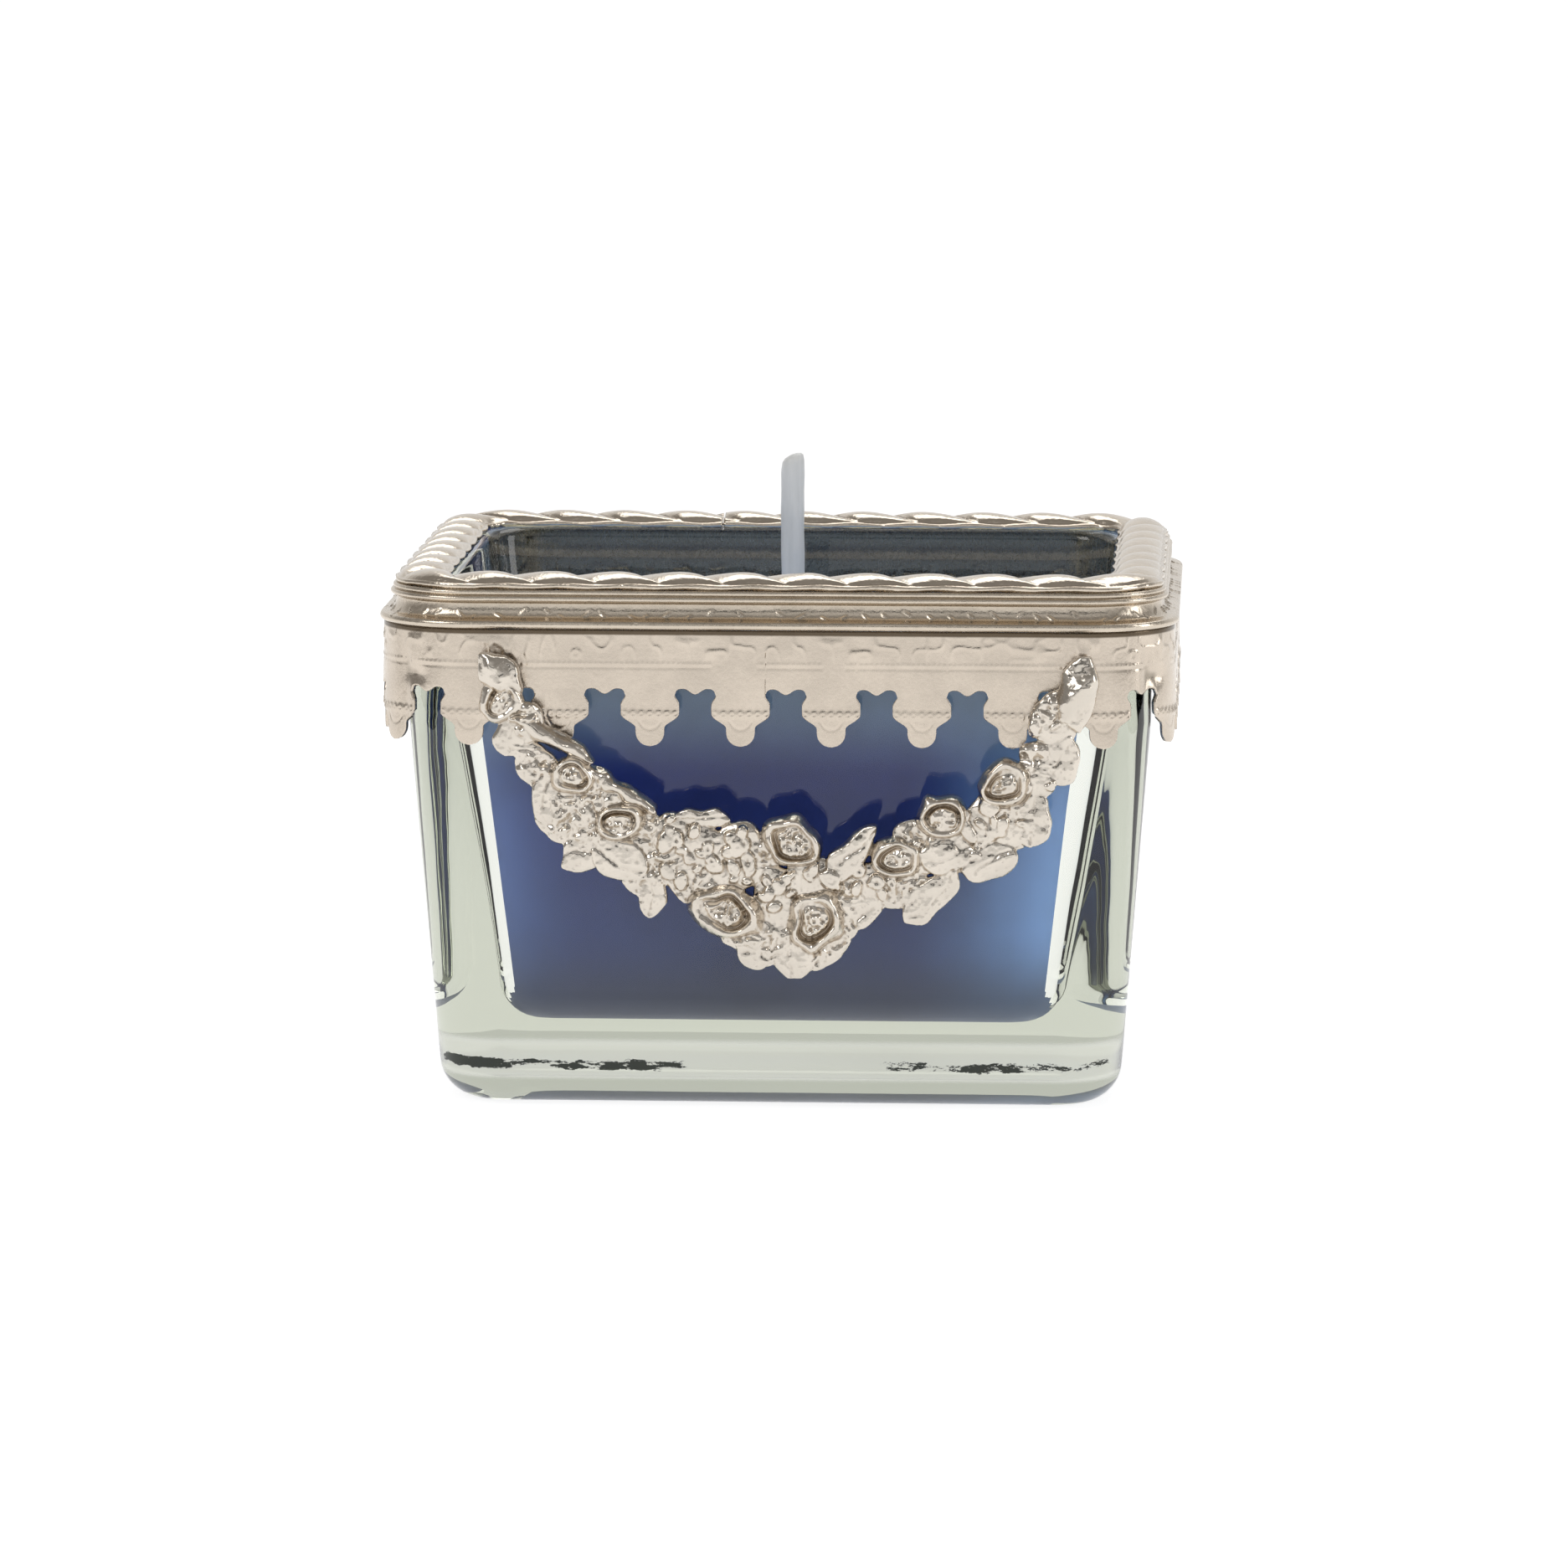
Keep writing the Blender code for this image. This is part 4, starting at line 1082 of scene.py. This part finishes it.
def soften(height):
    """Round off the casting's sharpest creases by one grid step."""
    blurred = height.copy()
    blurred[1:-1, 1:-1] = (4 * height[1:-1, 1:-1] + height[:-2, 1:-1] + height[2:, 1:-1]
                           + height[1:-1, :-2] + height[1:-1, 2:]) / 8
    return np.where(height > 0, blurred, 0)


GRID_STEP = 0.11
CASTING_FOOT = 0.7


def make_garland():
    """The rose garland, one flat-backed casting in high relief."""
    low_x, low_z = GARLAND_LOW[0] / MM, GARLAND_LOW[2] / MM
    high_x, high_z = GARLAND_HIGH[0] / MM, GARLAND_HIGH[2] / MM
    columns = np.arange(low_x + 0.1, high_x - 0.1, GRID_STEP)
    rows = np.arange(low_z + 0.1, high_z - 0.1, GRID_STEP)
    x, z = np.meshgrid(columns, rows, indexing="ij")
    height = garland_heights(x - GARLAND_SHIFT_X, z)
    inside = height > 0.12
    cell = inside[:-1, :-1] & inside[1:, :-1] & inside[:-1, 1:] & inside[1:, 1:]
    number = np.full(x.shape, -1)
    used = np.zeros_like(inside)
    for shift_x in (0, 1):
        for shift_z in (0, 1):
            used[shift_x:used.shape[0] - 1 + shift_x, shift_z:used.shape[1] - 1 + shift_z] |= cell
    count = int(used.sum())
    number[used] = np.arange(count)
    corners = (number[:-1, :-1], number[1:, :-1], number[1:, 1:], number[:-1, 1:])
    quads = np.stack([corner[cell] for corner in corners], axis=-1)
    edges = np.concatenate([quads[:, [0, 1]], quads[:, [1, 2]], quads[:, [2, 3]], quads[:, [3, 0]]])
    keys = np.sort(edges, axis=1)
    codes = keys[:, 0].astype(np.int64) * count + keys[:, 1]
    _, inverse, uses = np.unique(codes, return_inverse=True, return_counts=True)
    border = edges[uses[inverse] == 1]
    flat = np.stack([x[used], z[used]], axis=-1)
    flat = smooth_border(flat, border, 4)
    back_y = GARLAND_HIGH[1]
    most = (back_y - GARLAND_LOW[1]) / MM
    raised = CASTING_FOOT + height[used]
    raised = np.minimum(raised, most)
    front = np.column_stack([flat[:, 0] * MM, back_y - raised * MM, flat[:, 1] * MM])
    back = np.column_stack([flat[:, 0] * MM, np.full(count, back_y), flat[:, 1] * MM])
    walls = np.column_stack([border[:, 1], border[:, 0], border[:, 0] + count, border[:, 1] + count])
    faces = np.concatenate([quads, quads[:, ::-1] + count, walls])
    piece = add_mesh("garland_cast", np.concatenate([front, back]), faces, GARLAND_SILVER, "collar")
    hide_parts("garland")
    return piece


def smooth_border(flat, border, rounds):
    """Even out the steps that the grid leaves along the casting's outline."""
    flat = flat.copy()
    edge_points = np.unique(border)
    for _ in range(rounds):
        total = np.zeros_like(flat)
        uses = np.zeros(len(flat))
        np.add.at(total, border[:, 0], flat[border[:, 1]])
        np.add.at(total, border[:, 1], flat[border[:, 0]])
        np.add.at(uses, border.ravel(), 1)
        mean = total[edge_points] / uses[edge_points, None]
        flat[edge_points] = 0.5 * flat[edge_points] + 0.5 * mean
    return flat


# ---------------------------------------------------------------- studio


def add_area(name, place, target, size, power):
    """A soft rectangular light aimed at a point."""
    light = bpy.data.lights.new(name, "AREA")
    light.shape = "RECTANGLE"
    light.size, light.size_y = size
    light.energy = power
    lamp = bpy.data.objects.new(name, light)
    lamp.location = place
    lamp.rotation_euler = aim(place, target)
    bpy.context.scene.collection.objects.link(lamp)


def aim(place, target):
    """Rotation that points an object's -Z axis at a target."""
    return (Vector(target) - Vector(place)).to_track_quat("-Z", "Y").to_euler()


def add_rectangle(name, half_x, half_y, material):
    """A flat rectangle for the studio."""
    mesh = bpy.data.meshes.new(name)
    corners = [(-half_x, -half_y, 0), (half_x, -half_y, 0), (half_x, half_y, 0), (-half_x, half_y, 0)]
    mesh.from_pydata(corners, [], [(0, 1, 2, 3)])
    return add_object(name, mesh, material)


def add_card(name, place, target, size, grey):
    """A matt card that only reflections see."""
    card_material = bpy.data.materials.new(name)
    card_material.use_nodes = True
    shader = card_material.node_tree.nodes["Principled BSDF"]
    shader.inputs["Base Color"].default_value = (grey, grey, grey, 1)
    shader.inputs["Roughness"].default_value = 1.0
    shader.inputs["Specular IOR Level"].default_value = 0.0
    card = add_rectangle(name, size[0] / 2, size[1] / 2, card_material)
    card.location = place
    card.rotation_euler = aim(place, target)
    card.visible_camera = False
    card.visible_diffuse = False
    card.visible_shadow = False
    card.visible_transmission = False


SKY_DIM = (0.28, 0.27, 0.26, 1)
SKY_THROUGH_GLASS = (0.55, 0.56, 0.53, 1)
SKY_MIRROR = (0.86, 0.86, 0.86, 1)
WHITE = (1, 1, 1, 1)
FLOOR_REACH = 4.0


def mix_node(tree, factor, first, second):
    """A colour mix in the world's node tree; each colour is a tuple or another node's output."""
    node = tree.nodes.new("ShaderNodeMix")
    node.data_type = "RGBA"
    tree.links.new(factor, node.inputs["Factor"])
    for socket, value in ((node.inputs["A"], first), (node.inputs["B"], second)):
        if isinstance(value, tuple):
            socket.default_value = value
        else:
            tree.links.new(value, socket)
    return node.outputs["Result"]


def soft_step(tree, value, start, end):
    """A number that rises smoothly from zero to one between two values."""
    node = tree.nodes.new("ShaderNodeMapRange")
    node.interpolation_type = "SMOOTHSTEP"
    node.inputs["From Min"].default_value = start
    node.inputs["From Max"].default_value = end
    tree.links.new(value, node.inputs["Value"])
    return node.outputs["Result"]


def light_world(tree):
    """White to look at; as a light, bright low behind and straight in front, darker above and beside."""
    background = tree.nodes["Background"]
    direction = tree.nodes.new("ShaderNodeTexCoord")
    axes = tree.nodes.new("ShaderNodeSeparateXYZ")
    tree.links.new(direction.outputs["Generated"], axes.inputs[0])
    lowered = tree.nodes.new("ShaderNodeMath")
    lowered.operation = "MULTIPLY_ADD"
    tree.links.new(axes.outputs["Z"], lowered.inputs[0])
    lowered.inputs[1].default_value = -0.5
    tree.links.new(axes.outputs["Y"], lowered.inputs[2])
    lit = tree.nodes.new("ShaderNodeMath")
    lit.operation = "MAXIMUM"
    tree.links.new(soft_step(tree, lowered.outputs[0], 0.0, 0.75), lit.inputs[0])
    tree.links.new(soft_step(tree, axes.outputs["Y"], -0.4, -0.95), lit.inputs[1])
    seen = tree.nodes.new("ShaderNodeLightPath")
    back = mix_node(tree, seen.outputs["Is Glossy Ray"], WHITE, SKY_MIRROR)
    dim = mix_node(tree, seen.outputs["Is Transmission Ray"], SKY_DIM, SKY_THROUGH_GLASS)
    shade = mix_node(tree, lit.outputs[0], dim, back)
    white = mix_node(tree, seen.outputs["Is Camera Ray"], shade, WHITE)
    tree.links.new(white, background.inputs["Color"])


def make_studio():
    """White surroundings, soft lights and dark cards for the metal to reflect."""
    world = bpy.data.worlds.new("studio_white")
    world.use_nodes = True
    light_world(world.node_tree)
    bpy.context.scene.world = world
    recipe = Recipe("pale_floor")
    recipe.set(Roughness=0.9, Specular_IOR_Level=0.0, Emission_Strength=0.86)
    recipe.set(Emission_Color=(1, 1, 1, 1))
    recipe.feed("Base Color", recipe.mix(recipe.noise(8.0), (0.33, 0.33, 0.33), (0.37, 0.37, 0.37)))
    floor = add_rectangle("studio_floor", FLOOR_REACH, FLOOR_REACH, recipe.material)
    middle = (0, 0, 0.04)
    add_area("key_left", (-0.45, -0.35, 0.55), middle, (0.30, 0.30), 1.0)
    add_area("top_back", (0.1, 0.35, 0.6), middle, (0.6, 0.3), 1.2)
    add_area("rim_right", (0.6, -0.1, 0.25), middle, (0.2, 0.4), 0.7)
    add_card("dark_above_camera", (0.0, -0.7, 0.40), middle, (1.2, 0.16), 0.02)
    bpy.context.scene.view_settings.view_transform = "Standard"


CAMERA_DISTANCE = 1.0
CAMERA_HEIGHT = 0.179
CAMERA_YAW = 0.055
CAMERA_AIM = 0.0009
CAMERA_PITCH = 0.143
CAMERA_LENS = 187.2


def make_camera():
    """A long lens, a little to the right of the front and looking slightly down."""
    data = bpy.data.cameras.new("camera")
    data.lens = CAMERA_LENS
    data.sensor_width = 36.0
    data.clip_start = 0.01
    camera = bpy.data.objects.new("camera", data)
    away_x = CAMERA_DISTANCE * math.sin(CAMERA_YAW)
    away_y = -CAMERA_DISTANCE * math.cos(CAMERA_YAW)
    camera.location = (away_x, away_y, CAMERA_HEIGHT)
    camera.rotation_euler = (math.pi / 2 - CAMERA_PITCH, 0, CAMERA_YAW + CAMERA_AIM)
    bpy.context.scene.collection.objects.link(camera)
    bpy.context.scene.camera = camera


def dress_small_parts():
    """Better finishes for the CAD pieces that keep their shape."""
    finishes = {
        "wick_sustainer": plain_metal("cloudy_tin", (0.55, 0.55, 0.56), 0.35),
        "wick_sticker": adhesive_material(),
        "garland_solder_left": plain_metal("dull_solder_left", (0.6, 0.58, 0.55), 0.4),
        "garland_solder_right": plain_metal("dull_solder_right", (0.6, 0.58, 0.55), 0.4),
    }
    for name, material in finishes.items():
        for slot in bpy.data.objects[name].material_slots:
            slot.material = material


ROPE_SILVER = silver("rope_polished_silver", (0.68, 0.60, 0.50), (0.34, 0.26, 0.18), 0.17, 0.25, 0.8)
MOULDING_SILVER = silver("moulding_polished_silver", (0.66, 0.58, 0.48), (0.34, 0.27, 0.19), 0.25, 0.2, 0.6,
                         inside_reach=9.0 * MM)
SKIRT_SILVER = silver("skirt_satin_silver", (0.66, 0.58, 0.49), (0.46, 0.38, 0.30), 0.24, 0.15, 0.15,
                      tarnish_and_shade=0.3, inside_reach=10.6 * MM, shadow_line_above=MOULD_LOW[2] - 0.75 * MM)
GARLAND_SILVER = silver("garland_cast_silver", (0.72, 0.66, 0.58), (0.26, 0.21, 0.16), 0.18, 0.2, 0.9,
                        tarnish_and_shade=0.8)

make_camera()
make_studio()
make_glass()
make_wax()
make_wick()
make_rope()
make_moulding()
make_skirt()
make_garland()
dress_small_parts()
